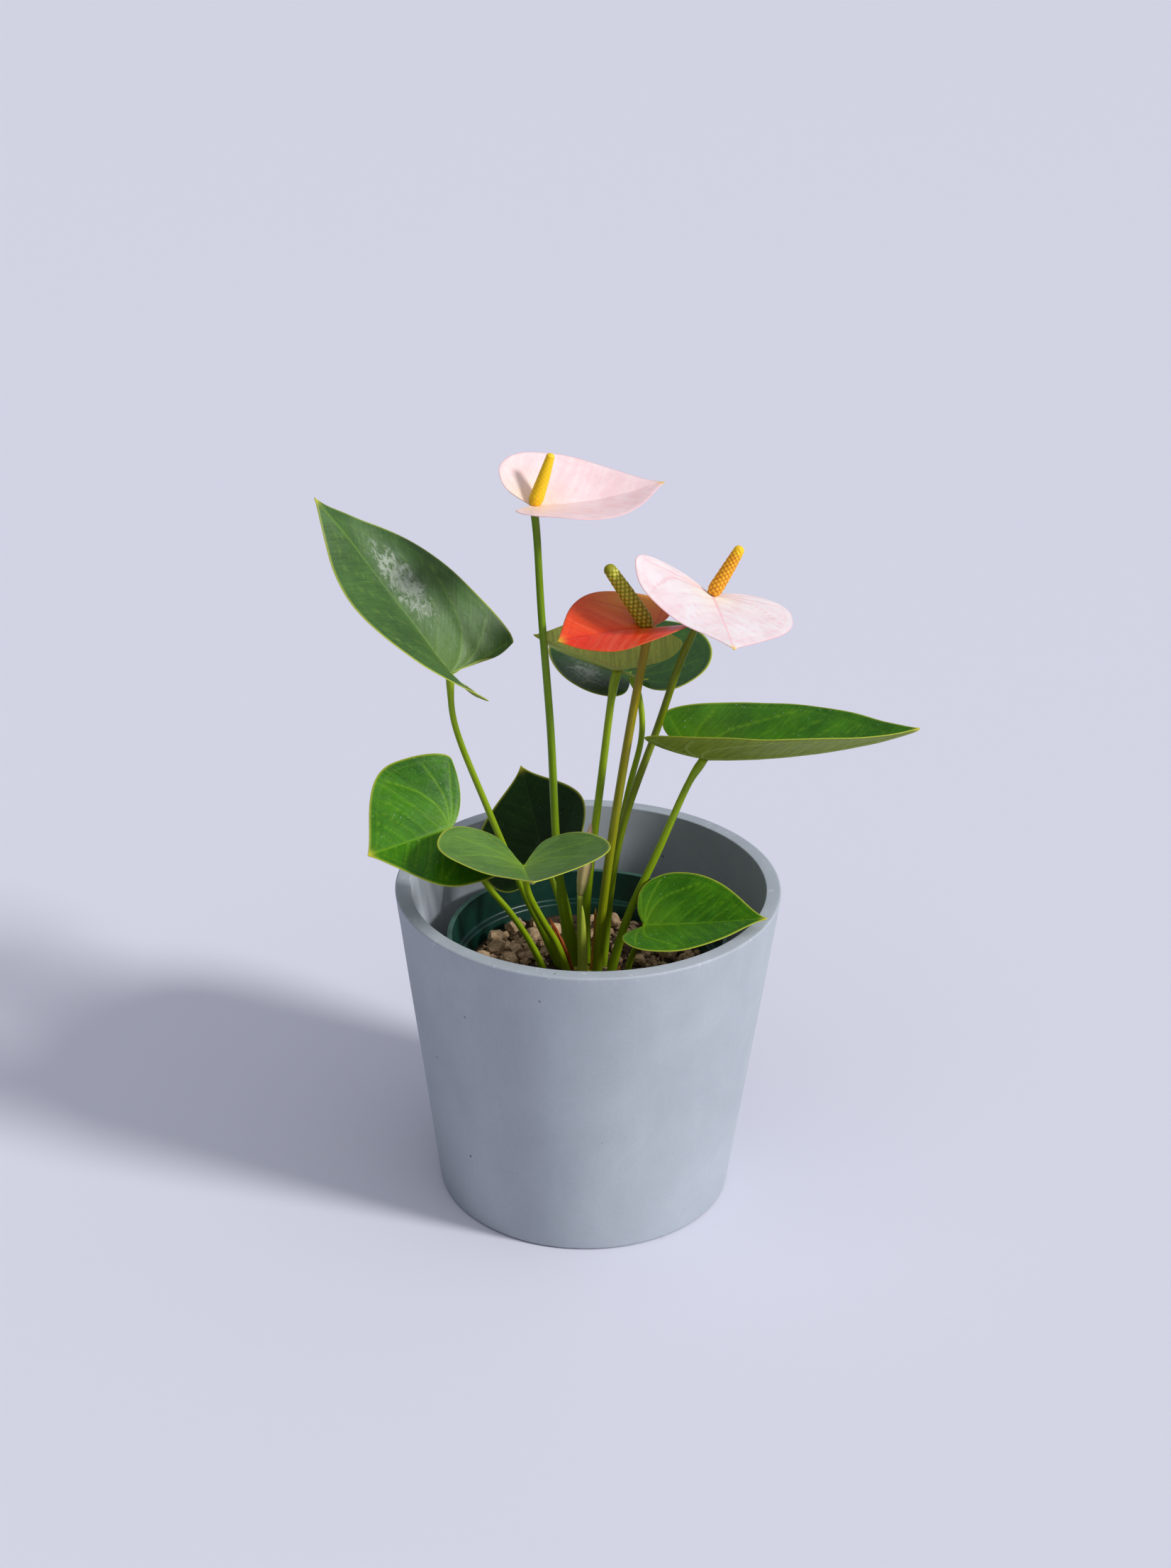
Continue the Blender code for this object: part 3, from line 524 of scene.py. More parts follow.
def lathe(name, profile, finish, sides=LATHE_SIDES, centre=(0.0, 0.0), sharp=35):
    """A closed solid of revolution from a profile whose two ends lie on the axis."""
    turns = 2 * np.pi * np.arange(sides) / sides
    rings = [
        np.stack([centre[0] + r * np.cos(turns), centre[1] + r * np.sin(turns), np.full(sides, float(z))], -1)
        for r, z in profile[1:-1]
    ]
    ends = [[(centre[0], centre[1], profile[0][1])], [(centre[0], centre[1], profile[-1][1])]]
    points = np.concatenate([ends[0], *rings, ends[1]])
    last = len(points) - 1
    faces = []
    for step in range(sides):
        following = (step + 1) % sides
        faces.append((0, 1 + following, 1 + step))
        for ring in range(len(rings) - 1):
            low, high = 1 + ring * sides, 1 + (ring + 1) * sides
            faces.append((low + step, low + following, high + following, high + step))
        top = 1 + (len(rings) - 1) * sides
        faces.append((top + step, top + following, last))
    return mesh_object(name, points, faces, finish, sharp=sharp)


def rounded(profile, corners, steps=5):
    """The profile with an arc in place of each corner in corners, a dict of index to radius."""
    out = []
    for index, point in enumerate(profile):
        if index not in corners:
            out.append(point)
            continue
        here = np.array(point, float)
        before = np.array(profile[index - 1], float) - here
        after = np.array(profile[index + 1], float) - here
        before /= np.linalg.norm(before)
        after /= np.linalg.norm(after)
        start, end = here + before * corners[index], here + after * corners[index]
        for step in range(steps + 1):
            share = step / steps
            out.append(tuple((1 - share) ** 2 * start + 2 * share * (1 - share) * here + share**2 * end))
    return out


# ---------------------------------------------------------------- blades


def bezier(start, first, second, end, count):
    share = np.linspace(0, 1, count)[:, None]
    start, first, second, end = (np.array(point, float) for point in (start, first, second, end))
    rest = 1 - share
    return rest**3 * start + 3 * rest**2 * share * first + 3 * rest * share**2 * second + share**3 * end


def half_outline(blade, width, reach):
    """The flat left margin from the tip, past the widest point and round the lobe, to the notch."""
    tip, wide, lobe = blade.length, blade.widest * blade.length, blade.lobe_spread * width
    towards_tip = bezier(
        (tip, 0), (tip - 0.3 * (tip - wide), blade.tip_fullness * width), (wide + ARC * (tip - wide), width),
        (wide, width), ARC_STEPS,
    )
    round_lobe = bezier(
        (wide, width), (wide - ARC * (wide + reach), width), (-reach, lobe + ARC * (width - lobe)),
        (-reach, lobe), ARC_STEPS,
    )
    into_notch = bezier(
        (-reach, lobe), (-reach, lobe * (1 - ARC)), (-0.45 * reach - SINUS_DEPTH, blade.notch_fullness * lobe),
        (-SINUS_DEPTH, 0), ARC_STEPS,
    )
    return np.concatenate([towards_tip, round_lobe[1:], into_notch[1:]])


def arc_offset(distance, rate, start=0.0):
    """Run and rise along an arc that starts at an angle and turns by a rate in radians per mm."""
    rate = np.where(np.abs(rate) < 1e-6, 1e-6, rate)
    run = (np.sin(start + rate * distance) - np.sin(start)) / rate
    rise = (np.cos(start) - np.cos(start + rate * distance)) / rate
    return run, rise


def turned(points, heading, pitch, roll):
    for angle, first, second in ((roll, 1, 2), (-pitch, 2, 0), (heading, 0, 1)):
        cosine, sine = math.cos(math.radians(angle)), math.sin(math.radians(angle))
        one, two = points[:, first].copy(), points[:, second].copy()
        points[:, first], points[:, second] = cosine * one - sine * two, sine * one + cosine * two
    return points


def shaped(blade, flat):
    """Folds flat points across the midrib, bends them along it, and turns them into place."""
    along, across = flat[:, 0], flat[:, 1]
    share = np.clip((along + blade.lobe_reach) / (blade.length + blade.lobe_reach), 0, 1)
    # The fold is rounded over the midrib: the two halves' angles blend within a few millimetres.
    side = np.clip(across / 1.5, -1, 1)
    left = 0.5 + 0.5 * side
    base = np.radians(left * blade.base_fold[0] + (1 - left) * blade.base_fold[1])
    tip = np.radians(left * blade.tip_fold[0] + (1 - left) * blade.tip_fold[1])
    curl = np.radians(left * blade.curl[0] + (1 - left) * blade.curl[1]) / 10
    run, rise = arc_offset(np.abs(across), curl, base + (tip - base) * share)
    bend = np.radians(np.where(along > 0, *blade.bend)) / 10
    forward, lift = arc_offset(along, bend)
    slope = bend * along
    points = np.stack(
        [forward - rise * np.sin(slope), np.sign(across) * run, lift + rise * np.cos(slope)], axis=-1
    )
    return turned(points, blade.heading, blade.pitch, blade.roll) + np.array(blade.junction)


def vein_lines(blade, half, sign):
    """The veins of one half as flat polylines: (points, strength, width in mm)."""
    count = len(half)
    steps = np.linspace(0, 1, 24)
    lines = []

    def margin_at(place):
        index = np.clip(place, 0, 1) * (count - 1)
        low = np.floor(index).astype(int).clip(0, count - 2)
        share = (index - low)[..., None]
        return half[low] * (1 - share) + half[low + 1] * share

    # Basal veins fan out from the junction and lean towards the tip as they near the margin.
    for start, end, strength in ((0.40, 0.26, 1.0), (0.56, 0.43, 0.9), (0.72, 0.62, 0.75), (0.86, 0.80, 0.55)):
        place = end + (start + 0.10 - end) * (1 - steps) ** 1.4
        lines.append((steps[:, None] * 0.90 * margin_at(place), strength, 0.42))
    # Side veins leave the midrib and run into the vein that follows the margin.
    for share, place in ((0.10, 0.24), (0.24, 0.19), (0.38, 0.145), (0.52, 0.105), (0.66, 0.07), (0.80, 0.035)):
        root = np.array([share * blade.length, 0.0])
        end = 0.90 * margin_at(np.array([place]))[0]
        bow = root + (end - root) * 0.5 + np.array([-0.05 * blade.length, 0.0])
        curve = (1 - steps[:, None]) ** 2 * root + 2 * (steps * (1 - steps))[:, None] * bow + steps[:, None] ** 2 * end
        lines.append((curve, 0.6, 0.32))
    around = np.linspace(0.02, 0.88, 60)
    lines.append((0.90 * margin_at(around), 0.32, 0.30))
    return [(points * (1, sign), strength, width) for points, strength, width in lines]


def distance_to_line(points, line):
    """Distance from each point to a polyline."""
    best = np.full(len(points), 1e9)
    for start, end in zip(line[:-1], line[1:]):
        step = end - start
        share = np.clip(((points - start) @ step) / max(step @ step, 1e-9), 0, 1)
        best = np.minimum(best, np.hypot(*(points - start - share[:, None] * step).T))
    return best


def blade_piece(blade, finish, thickness, relief, slot, ripple=0.0, dust=None, margin_width=0.55):
    """The finished blade: veins pressed in above and raised below, a rounded thin margin."""
    left = half_outline(blade, blade.half_width, blade.lobe_reach)
    right = half_outline(blade, blade.half_width * blade.right_width, blade.lobe_reach * blade.right_lobe)
    margin = np.concatenate([left, right[-2:0:-1] * (1, -1)])
    count = len(margin)
    # Rings are closer together near the margin, where the blade thins out.
    rings = np.linspace(0, 1, BLADE_RINGS + 1)[1:]
    rings = 1 - (1 - rings) ** 1.25
    flat = np.concatenate([np.zeros((1, 2))] + [ring * margin for ring in rings])
    inwards = np.concatenate([[1.0], np.repeat(1 - rings, count)])
    radius = np.concatenate([[blade.half_width], np.tile(np.linalg.norm(margin, axis=1), BLADE_RINGS)])
    from_edge = inwards * radius
    vein = np.zeros(len(flat))
    press = np.zeros(len(flat))
    for half, sign in ((left, 1), (right, -1)):
        for line, strength, width in vein_lines(blade, half, sign):
            distance = distance_to_line(flat, line)
            vein = np.maximum(vein, strength * np.exp(-((distance / width) ** 2)))
            press = np.maximum(press, strength * np.exp(-((distance / (4.5 * width)) ** 2)))
    midrib_width = 0.75 * np.clip(1 - flat[:, 0] / (1.15 * blade.length), 0.15, 1)
    midrib = np.exp(-((flat[:, 1] / midrib_width) ** 2)) * (flat[:, 0] > -SINUS_DEPTH)
    vein = np.maximum(vein, midrib)
    middle = shaped(blade, flat)
    dice = random.Random(blade.name)
    offset = Vector((dice.uniform(0, 100), dice.uniform(0, 100), 0))
    wave = np.array([noise.noise(Vector((x / 17, y / 17, 0)) + offset) for x, y in flat])
    triangles = blade_triangles(count, BLADE_RINGS)
    normals = point_normals(middle, triangles)
    middle = middle + normals * (ripple * wave * (1 - inwards) ** 2)[:, None]
    half_thick = thickness / 2 * np.clip(from_edge / 0.7, 0.12, 1) ** 0.5
    above = half_thick - relief * press - 0.25 * relief * vein
    below = half_thick + 0.5 * relief * press + 1.2 * relief * vein + 0.5 * midrib * np.clip(from_edge / 3, 0, 1)
    above, below = np.where(inwards <= 0, half_thick, above), np.where(inwards <= 0, half_thick, below)
    points = np.concatenate([middle + normals * above[:, None], middle - normals * below[:, None]])
    under = len(middle)
    faces = [tuple(face) for face in triangles]
    faces += [(a + under, c + under, b + under) for a, b, c in triangles]
    edge_start = 1 + (BLADE_RINGS - 1) * count
    for step in range(count):
        following = (step + 1) % count
        faces.append((edge_start + following, edge_start + step, edge_start + step + under, edge_start + following + under))
    edge = np.exp(-((from_edge / margin_width) ** 2))
    young = np.exp(-((np.hypot(flat[:, 0] + 2, flat[:, 1]) / (0.22 * blade.length)) ** 2))
    # On leaves this patch is a painted sheen, with dust in it on leaf_upper_left; on spathe_red it marks the throat's
    # own tint.
    veil = np.zeros(len(flat))
    if dust is not None:
        x, y, reach = dust
        veil = np.exp(-(np.hypot(flat[:, 0] / blade.length - x, flat[:, 1] / blade.half_width - y) / reach) ** 2)
    tip = np.exp(-((np.hypot(flat[:, 0] - blade.length, flat[:, 1]) / NIB_REACH) ** 2))
    attributes = {
        "vein": np.tile(vein, 2), "edge": np.tile(edge, 2), "young": np.tile(young, 2), "dust": np.tile(veil, 2),
        "upper": np.concatenate([np.ones(under), np.zeros(under)]), "tip": np.tile(tip, 2),
    }
    seed = dice.uniform(0, 500)
    drawn = np.concatenate([flat + seed, np.zeros((under, 1))], axis=1)
    away = np.abs(flat[:, 1])
    flow = np.stack([flat[:, 0] - 0.7 * away + seed, 0.07 * away, 3 * np.sign(flat[:, 1])], -1)
    vectors = {"flat": np.tile(drawn, (2, 1)), "flow": np.tile(flow, (2, 1))}
    piece = mesh_object(blade.name + "_fine", points, faces, finish, attributes, vectors)
    settle(piece, slot, blade.name)
    return piece


def blade_triangles(count, rings):
    faces = []
    for step in range(count):
        following = (step + 1) % count
        faces.append((0, 1 + step, 1 + following))
        for ring in range(rings - 1):
            low, high = 1 + ring * count, 1 + (ring + 1) * count
            faces.append((low + step, high + step, high + following))
            faces.append((low + step, high + following, low + following))
    return np.array(faces)


def point_normals(points, triangles):
    corners = points[triangles]
    facing = np.cross(corners[:, 1] - corners[:, 0], corners[:, 2] - corners[:, 0])
    normals = np.zeros_like(points)
    for corner in range(3):
        np.add.at(normals, triangles[:, corner], facing)
    return normals / np.maximum(np.linalg.norm(normals, axis=1, keepdims=True), 1e-12)


# ---------------------------------------------------------------- stems


def smooth_route(points, spacing):
    """Points every so often on a Catmull-Rom curve through the given ones."""
    points = [np.array(point, float) for point in points]
    ends = [2 * points[0] - points[1], *points, 2 * points[-1] - points[-2]]
    route = [points[0]]
    for before, start, end, after in zip(ends, ends[1:], ends[2:], ends[3:]):
        count = max(1, round(float(np.linalg.norm(end - start)) / spacing))
        for step in range(1, count + 1):
            share = step / count
            route.append(
                0.5
                * (
                    2 * start
                    + (end - before) * share
                    + (2 * before - 5 * start + 4 * end - after) * share**2
                    + (3 * start - before - 3 * end + after) * share**3
                )
            )
    return np.array(route)


def frames_along(route):
    """Tangent and two side directions at each point, carried along without twist."""
    tangents = np.gradient(route, axis=0)
    tangents /= np.linalg.norm(tangents, axis=1, keepdims=True)
    side = np.cross(tangents[0], (0.0, 1.0, 0.0))
    sides = []
    for tangent in tangents:
        side = side - tangent * (side @ tangent)
        side /= np.linalg.norm(side)
        sides.append(side)
    sides = np.array(sides)
    return tangents, sides, np.cross(tangents, sides)


def tube_piece(name, route, radii, finish, section=None, sides=STEM_SIDES, extra=()):
    """A stem along a route. section gives a factor on the radius for each angle and share."""
    steps = np.concatenate([[0], np.cumsum(np.linalg.norm(np.diff(route, axis=0), axis=1))])
    share = steps / steps[-1]
    widths = np.interp(share, *zip(*radii)) if not isinstance(radii, np.ndarray) else radii
    _, first, second = frames_along(route)
    turns = 2 * np.pi * np.arange(sides) / sides
    around, up = np.meshgrid(turns, share)
    factor = section(around, up) if section else np.ones_like(around)
    reach = widths[:, None] * factor
    points = route[:, None] + reach[..., None] * (
        np.cos(around)[..., None] * first[:, None] + np.sin(around)[..., None] * second[:, None]
    )
    rows = len(route)
    points = np.concatenate([points.reshape(-1, 3), route[:1], route[-1:]])
    faces = []
    for row in range(rows - 1):
        for step in range(sides):
            following = (step + 1) % sides
            low, high = row * sides, (row + 1) * sides
            faces.append((low + step, low + following, high + following, high + step))
    for step in range(sides):
        following = (step + 1) % sides
        faces.append((following, step, rows * sides))
        faces.append(((rows - 1) * sides + step, (rows - 1) * sides + following, rows * sides + 1))
    along = np.concatenate([up.ravel(), [0, 1]])
    mean_radius = float(np.mean(widths))
    flat = np.stack([around.ravel() * mean_radius, (up * steps[-1]).ravel(), np.zeros(around.size)], -1)
    flat = np.concatenate([flat, [[0, 0, 0], [0, steps[-1], 0]]])
    dice = random.Random(name)
    flat += (dice.uniform(0, 300), dice.uniform(0, 300), 0)
    attributes = {"along": along, **dict(extra)}
    return mesh_object(name, points, faces, finish, attributes, {"flat": flat})


def crown_top(distance):
    return SOIL_TOP + CROWN_HEIGHT * max(0.0, 1 - (distance / CROWN_RADIUS) ** 2)


def petiole_section(around, up):
    """Slightly flattened, with a shallow channel on one side, as petioles have."""
    channel = np.exp(-((np.angle(np.exp(1j * (around - 1.2))) / 0.5) ** 2))
    return 1 + 0.04 * np.cos(2 * around) - 0.10 * channel * np.clip(1 - up * 0.3, 0, 1)


def stalk_section(around, up):
    """Round, with faint lengthways ridges."""
    return 1 + 0.018 * np.cos(7 * around) + 0.012 * np.cos(3 * around + 1) + 0 * up


def stem_piece(blade, finish, name, slot, section, thickness):
    spot, passes, radii = STEMS[blade.name]
    foot = (*spot, crown_top(math.dist(spot, CROWN_CENTRE)) - 1.0)
    junction = np.array(blade.junction, float)
    arriving = junction - np.array(passes[-1], float)
    arriving /= np.linalg.norm(arriving)
    route = smooth_route([foot, *passes, junction - arriving * thickness / 2], 1.6)
    piece = tube_piece(name + "_fine", route, radii, finish, section)
    settle(piece, slot, name)


# ---------------------------------------------------------------- spadices and buds


def spadix_piece(blade, finish):
    """A tapered spike set with rows of small flowers in a spiral."""
    name, direction, length, base_radius, tip_radius, relief = SPADICES[blade.name]
    axis = np.array(Vector(direction).normalized())
    rows, sides = 150, 84
    share = np.linspace(0, 1, rows)
    profile = np.interp(share, (0, 0.05, 0.14, 0.6, 0.9, 1.0), (
        0.62 * base_radius, 0.85 * base_radius, base_radius, 0.5 * (base_radius + tip_radius), tip_radius, tip_radius))
    crest = np.sqrt(np.clip(1 - np.clip((share - 0.92) / 0.08, 0, 1) ** 2, 0.0004, 1))
    radius = profile * crest
    turns = 2 * np.pi * np.arange(sides) / sides
    around, up = np.meshgrid(turns, share)
    # Small flowers sit where two sets of spirals cross; their size follows the circumference.
    per_turn, golden = 12, math.radians(137.508)
    spacing = 2 * math.pi * base_radius / per_turn
    total = int(length * 2 * math.pi * base_radius * 0.86 / spacing**2)
    knob = np.zeros_like(around)
    for index in range(total):
        place = (index + 0.5) / total
        turn = index * golden
        local = np.interp(place, share, profile)
        apart_turn = np.angle(np.exp(1j * (around - turn))) * local
        apart_up = (up - place) * length
        reach = 0.58 * spacing
        near = np.clip(1 - (apart_turn**2 + apart_up**2) / reach**2, 0, 1)
        knob = np.maximum(knob, near)
    fade = np.clip((0.97 - up) / 0.1, 0, 1) if relief > 0.1 else np.ones_like(up)
    height = radius[:, None] + relief * (knob**0.6 - 0.5) * fade * np.clip(crest[:, None] * 1.2, 0, 1)
    route = np.array(blade.junction) + axis * (0.2 + share[:, None] * length)
    side = np.array(Vector(axis).orthogonal().normalized())
    other = np.cross(axis, side)
    # A real spadix is never dead straight.
    sway = 0.35 * np.sin(share * 2.4)[:, None] * side
    points = (route + sway)[:, None] + height[..., None] * (
        np.cos(around)[..., None] * side + np.sin(around)[..., None] * other
    )
    points = np.concatenate([points.reshape(-1, 3), [route[0]], [(route + sway)[-1] + axis * 0.02]])
    faces = []
    for row in range(rows - 1):
        for step in range(sides):
            following = (step + 1) % sides
            faces.append((row * sides + step, row * sides + following, (row + 1) * sides + following, (row + 1) * sides + step))
    last = (rows - 1) * sides
    for step in range(sides):
        following = (step + 1) % sides
        faces.append((following, step, rows * sides))
        faces.append((last + step, last + following, rows * sides + 1))
    attributes = {"knob": [*(knob * fade).ravel(), 0, 1], "along": [*up.ravel(), 0, 1]}
    piece = mesh_object(name + "_fine", points, faces, finish, attributes)
    settle(piece, name, name)


def spindle_piece(name, start, direction, length, radii, finish, slot, section=None, bow=(0, 0, 0), replaced=None):
    """A tapered piece along a slightly bowed line: buds, sheaths and scraps."""
    axis = np.array(Vector(direction).normalized())
    start = np.array(start, float)
    middle = start + axis * length / 2 + np.array(bow, float)
    route = smooth_route([start, middle, start + axis * length], length / 60)
    piece = tube_piece(name + "_fine", route, radii, finish, section, 40)
    settle(piece, slot, replaced or name)
    return piece


def rolled_section(around, up):
    """The margin of a rolled blade shows as a step that winds round the roll."""
    turn = np.mod(around + 2.6 * up, 2 * np.pi) / (2 * np.pi)
    return 0.90 + 0.16 * turn + 0.02 * np.cos(5 * around)


def flat_section(around, up):
    """A papery strip: thin, with its edges rolled in."""
    return 0.28 + 0.72 * np.abs(np.cos(around)) + 0.08 * np.sin(9 * up * np.pi + around)


# ---------------------------------------------------------------- mix and pebbles


def lump(radius, dice, rough=0.22, level=3):
    """Points and faces of an irregular stone, centred on the origin, in millimetres."""
    base_points, base_faces = SPHERES[level]
    seed = Vector([dice.uniform(0, 90) for _ in range(3)])
    stretch = np.array([1.0, dice.uniform(0.72, 0.95), dice.uniform(0.65, 0.88)])
    dents = []
    for _ in range(6):
        way = np.array([dice.gauss(0, 1) for _ in range(3)])
        dents.append((way / np.linalg.norm(way), dice.uniform(0.55, 0.85)))
    out = base_points.copy()
    for way, limit in dents:
        beyond = np.clip(out @ way - limit, 0, None)
        out = out - 0.85 * beyond[:, None] * way
    push = np.array([
        noise.fractal(Vector(point) * 1.6 + seed, 1.0, 2.0, 4) for point in base_points
    ])
    out = out * (1 + rough * push[:, None]) * stretch * radius
    turn = np.array(Matrix.Rotation(dice.uniform(0, 6.28), 3, "Z") @ Matrix.Rotation(dice.uniform(-0.5, 0.5), 3, "X"))
    return out @ turn.T, base_faces


def unit_sphere(level):
    mesh = bpy.data.meshes.new("sphere")
    import bmesh

    work = bmesh.new()
    bmesh.ops.create_icosphere(work, subdivisions=level, radius=1.0)
    work.to_mesh(mesh)
    work.free()
    points = np.array([vertex.co for vertex in mesh.vertices])
    faces = [tuple(polygon.vertices) for polygon in mesh.polygons]
    bpy.data.meshes.remove(mesh)
    return points, faces


def pebbles(finish):
    for index, (east, north, radius) in enumerate(PEBBLES, start=1):
        dice = random.Random(index)
        points, faces = lump(radius * 1.02, dice, 0.20, 5)
        points = points + (east, north, SOIL_TOP - 0.4 - points[:, 2].min())
        name = f"pebble_{index:02d}"
        piece = mesh_object(name + "_fine", points, faces, finish, {"tone": np.full(len(points), dice.uniform(0, 0.35))})
        settle(piece, "pumice", name)


def soil_height(x, y):
    """The mix's lumpy top, a little higher round the crown."""
    spot = Vector((x / 6.0, y / 6.0, 3.0))
    rough = noise.fractal(spot, 1.0, 2.0, 5)
    mound = 1.5 * math.exp(-(math.dist((x, y), CROWN_CENTRE) / 12) ** 2)
    return SOIL_TOP - 1.0 + 1.3 * rough + mound


def soil(finish):
    """The mix: a closed body with a lumpy top surface."""
    rings, sides = 90, 220
    base = POT_FLOOR + 2.0
    bottom_radius = NURSERY_BASE_RADIUS - 2.0
    points, tones = [(0.0, 0.0, soil_height(0, 0))], [0.3]
    for ring in range(1, rings + 1):
        reach = SOIL_RADIUS * ring / rings
        for step in range(sides):
            turn = 2 * math.pi * step / sides
            x, y = reach * math.cos(turn), reach * math.sin(turn)
            points.append((x, y, soil_height(x, y)))
            tones.append(0.5 + 0.5 * noise.noise(Vector((x / 3, y / 3, 9))))
    for step in range(sides):
        turn = 2 * math.pi * step / sides
        points.append((bottom_radius * math.cos(turn), bottom_radius * math.sin(turn), base))
        tones.append(0.5)
    points.append((0, 0, base))
    tones.append(0.5)
    faces = []
    last = len(points) - 1
    for step in range(sides):
        following = (step + 1) % sides
        faces.append((0, 1 + step, 1 + following))
        for ring in range(rings):
            low, high = 1 + ring * sides, 1 + (ring + 1) * sides
            faces.append((low + step, high + step, high + following, low + following))
        bottom = 1 + rings * sides
        faces.append((bottom + step, last, bottom + following))
    piece = mesh_object("potting_mix_fine", points, faces, finish, {"tone": tones})
    settle(piece, "potting_mix", "potting_mix")


def scatter(name, finish, count, sizes, level, seed, tones, thick_spots, depth=0.35):
    """Many small grains joined into one piece, denser in the thick spots (x, y, spread, share)."""
    dice = random.Random(seed)
    points, faces, tone = [], [], []
    start = 0
    for _ in range(count):
        spot = None
        while spot is None:
            pick = dice.random()
            for x, y, spread, share in thick_spots:
                pick -= share
                if pick < 0:
                    spot = (dice.gauss(x, spread), dice.gauss(y, spread))
                    break
            if spot is None:
                turn, reach = dice.uniform(0, 2 * math.pi), (SOIL_RADIUS - 1) * math.sqrt(dice.random())
                spot = (reach * math.cos(turn), reach * math.sin(turn))
            if math.hypot(*spot) > SOIL_RADIUS - 1.2:
                spot = None
        radius = dice.uniform(*sizes)
        shape, triangles = lump(radius, dice, 0.3, level)
        height = soil_height(*spot) + radius * dice.uniform(-depth, 0.7)
        points.append(shape + (*spot, height))
        faces += [tuple(start + corner for corner in face) for face in triangles]
        tone += [dice.uniform(*tones)] * len(shape)
        start += len(shape)
    piece = mesh_object(name, np.concatenate(points), faces, finish, {"tone": tone})
    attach(piece, "root")


# ---------------------------------------------------------------- pots


def cover_pot(finish):
    slope = (POT_RIM_RADIUS - POT_BASE_RADIUS) / POT_HEIGHT
    floor_radius = POT_BASE_RADIUS + slope * POT_FLOOR - POT_WALL
    rim_inside = POT_RIM_RADIUS - POT_WALL
    profile = [
        (0, 0),
        (POT_BASE_RADIUS, 0),
        (POT_RIM_RADIUS, POT_HEIGHT),
        (rim_inside, POT_HEIGHT),
        (floor_radius, POT_FLOOR),
        (0, POT_FLOOR),
    ]
    profile = rounded(profile, {1: 1.6, 2: 1.1, 3: 0.5, 4: 4.0}, 6)
    # Rings up the walls, so that the surface can carry its slight unevenness.
    fine = [profile[0]]
    for low, high in zip(profile, profile[1:]):
        count = max(1, int(math.dist(low, high) / 6)) if min(low[0], high[0]) > 1 else 1
        fine += [tuple(np.array(low) + (np.array(high) - np.array(low)) * k / count) for k in range(1, count + 1)]
    piece = lathe("outer_pot_fine", fine, finish, sharp=50)
    for vertex in piece.data.vertices:
        unevenness = noise.noise(vertex.co / MM / 35) * 0.12 + noise.noise(vertex.co / MM / 9) * 0.03
        reach = math.hypot(vertex.co.x, vertex.co.y)
        if reach > 1e-6 and vertex.co.z > 0.001:
            vertex.co.x += vertex.co.x / reach * unevenness * MM
            vertex.co.y += vertex.co.y / reach * unevenness * MM
    settle(piece, "pot", "outer_pot")


def nursery_pot(finish):
    base = POT_FLOOR + 0.3
    collar = NURSERY_RIM_HEIGHT - NURSERY_COLLAR_DROP
    inside_shoulder = NURSERY_SHOULDER_RADIUS - NURSERY_WALL
    collar_radius = NURSERY_RIM_RADIUS - NURSERY_LIP - 0.5
    profile = [
        (0, base),
        (NURSERY_BASE_RADIUS, base),
        (NURSERY_SHOULDER_RADIUS, collar - NURSERY_WALL),
        (collar_radius, collar - NURSERY_WALL),
        (NURSERY_RIM_RADIUS - NURSERY_LIP, NURSERY_RIM_HEIGHT - 2.5),
        (NURSERY_RIM_RADIUS, NURSERY_RIM_HEIGHT - 2.2),
        (NURSERY_RIM_RADIUS, NURSERY_RIM_HEIGHT),
        (NURSERY_RIM_RADIUS - NURSERY_LIP - NURSERY_WALL, NURSERY_RIM_HEIGHT),
        (collar_radius - NURSERY_WALL, collar),
        (inside_shoulder, collar),
        (NURSERY_BASE_RADIUS - NURSERY_WALL, base + NURSERY_WALL),
        (0, base + NURSERY_WALL),
    ]
    corners = {1: 2.0, 2: 0.5, 3: 0.8, 4: 0.2, 6: 0.4, 7: 0.4, 8: 1.2, 9: 0.9, 10: 2.0}
    piece = lathe("nursery_pot_fine", rounded(profile, corners), finish, 192)
    settle(piece, "nursery_plastic", "nursery_pot")


# ---------------------------------------------------------------- scene


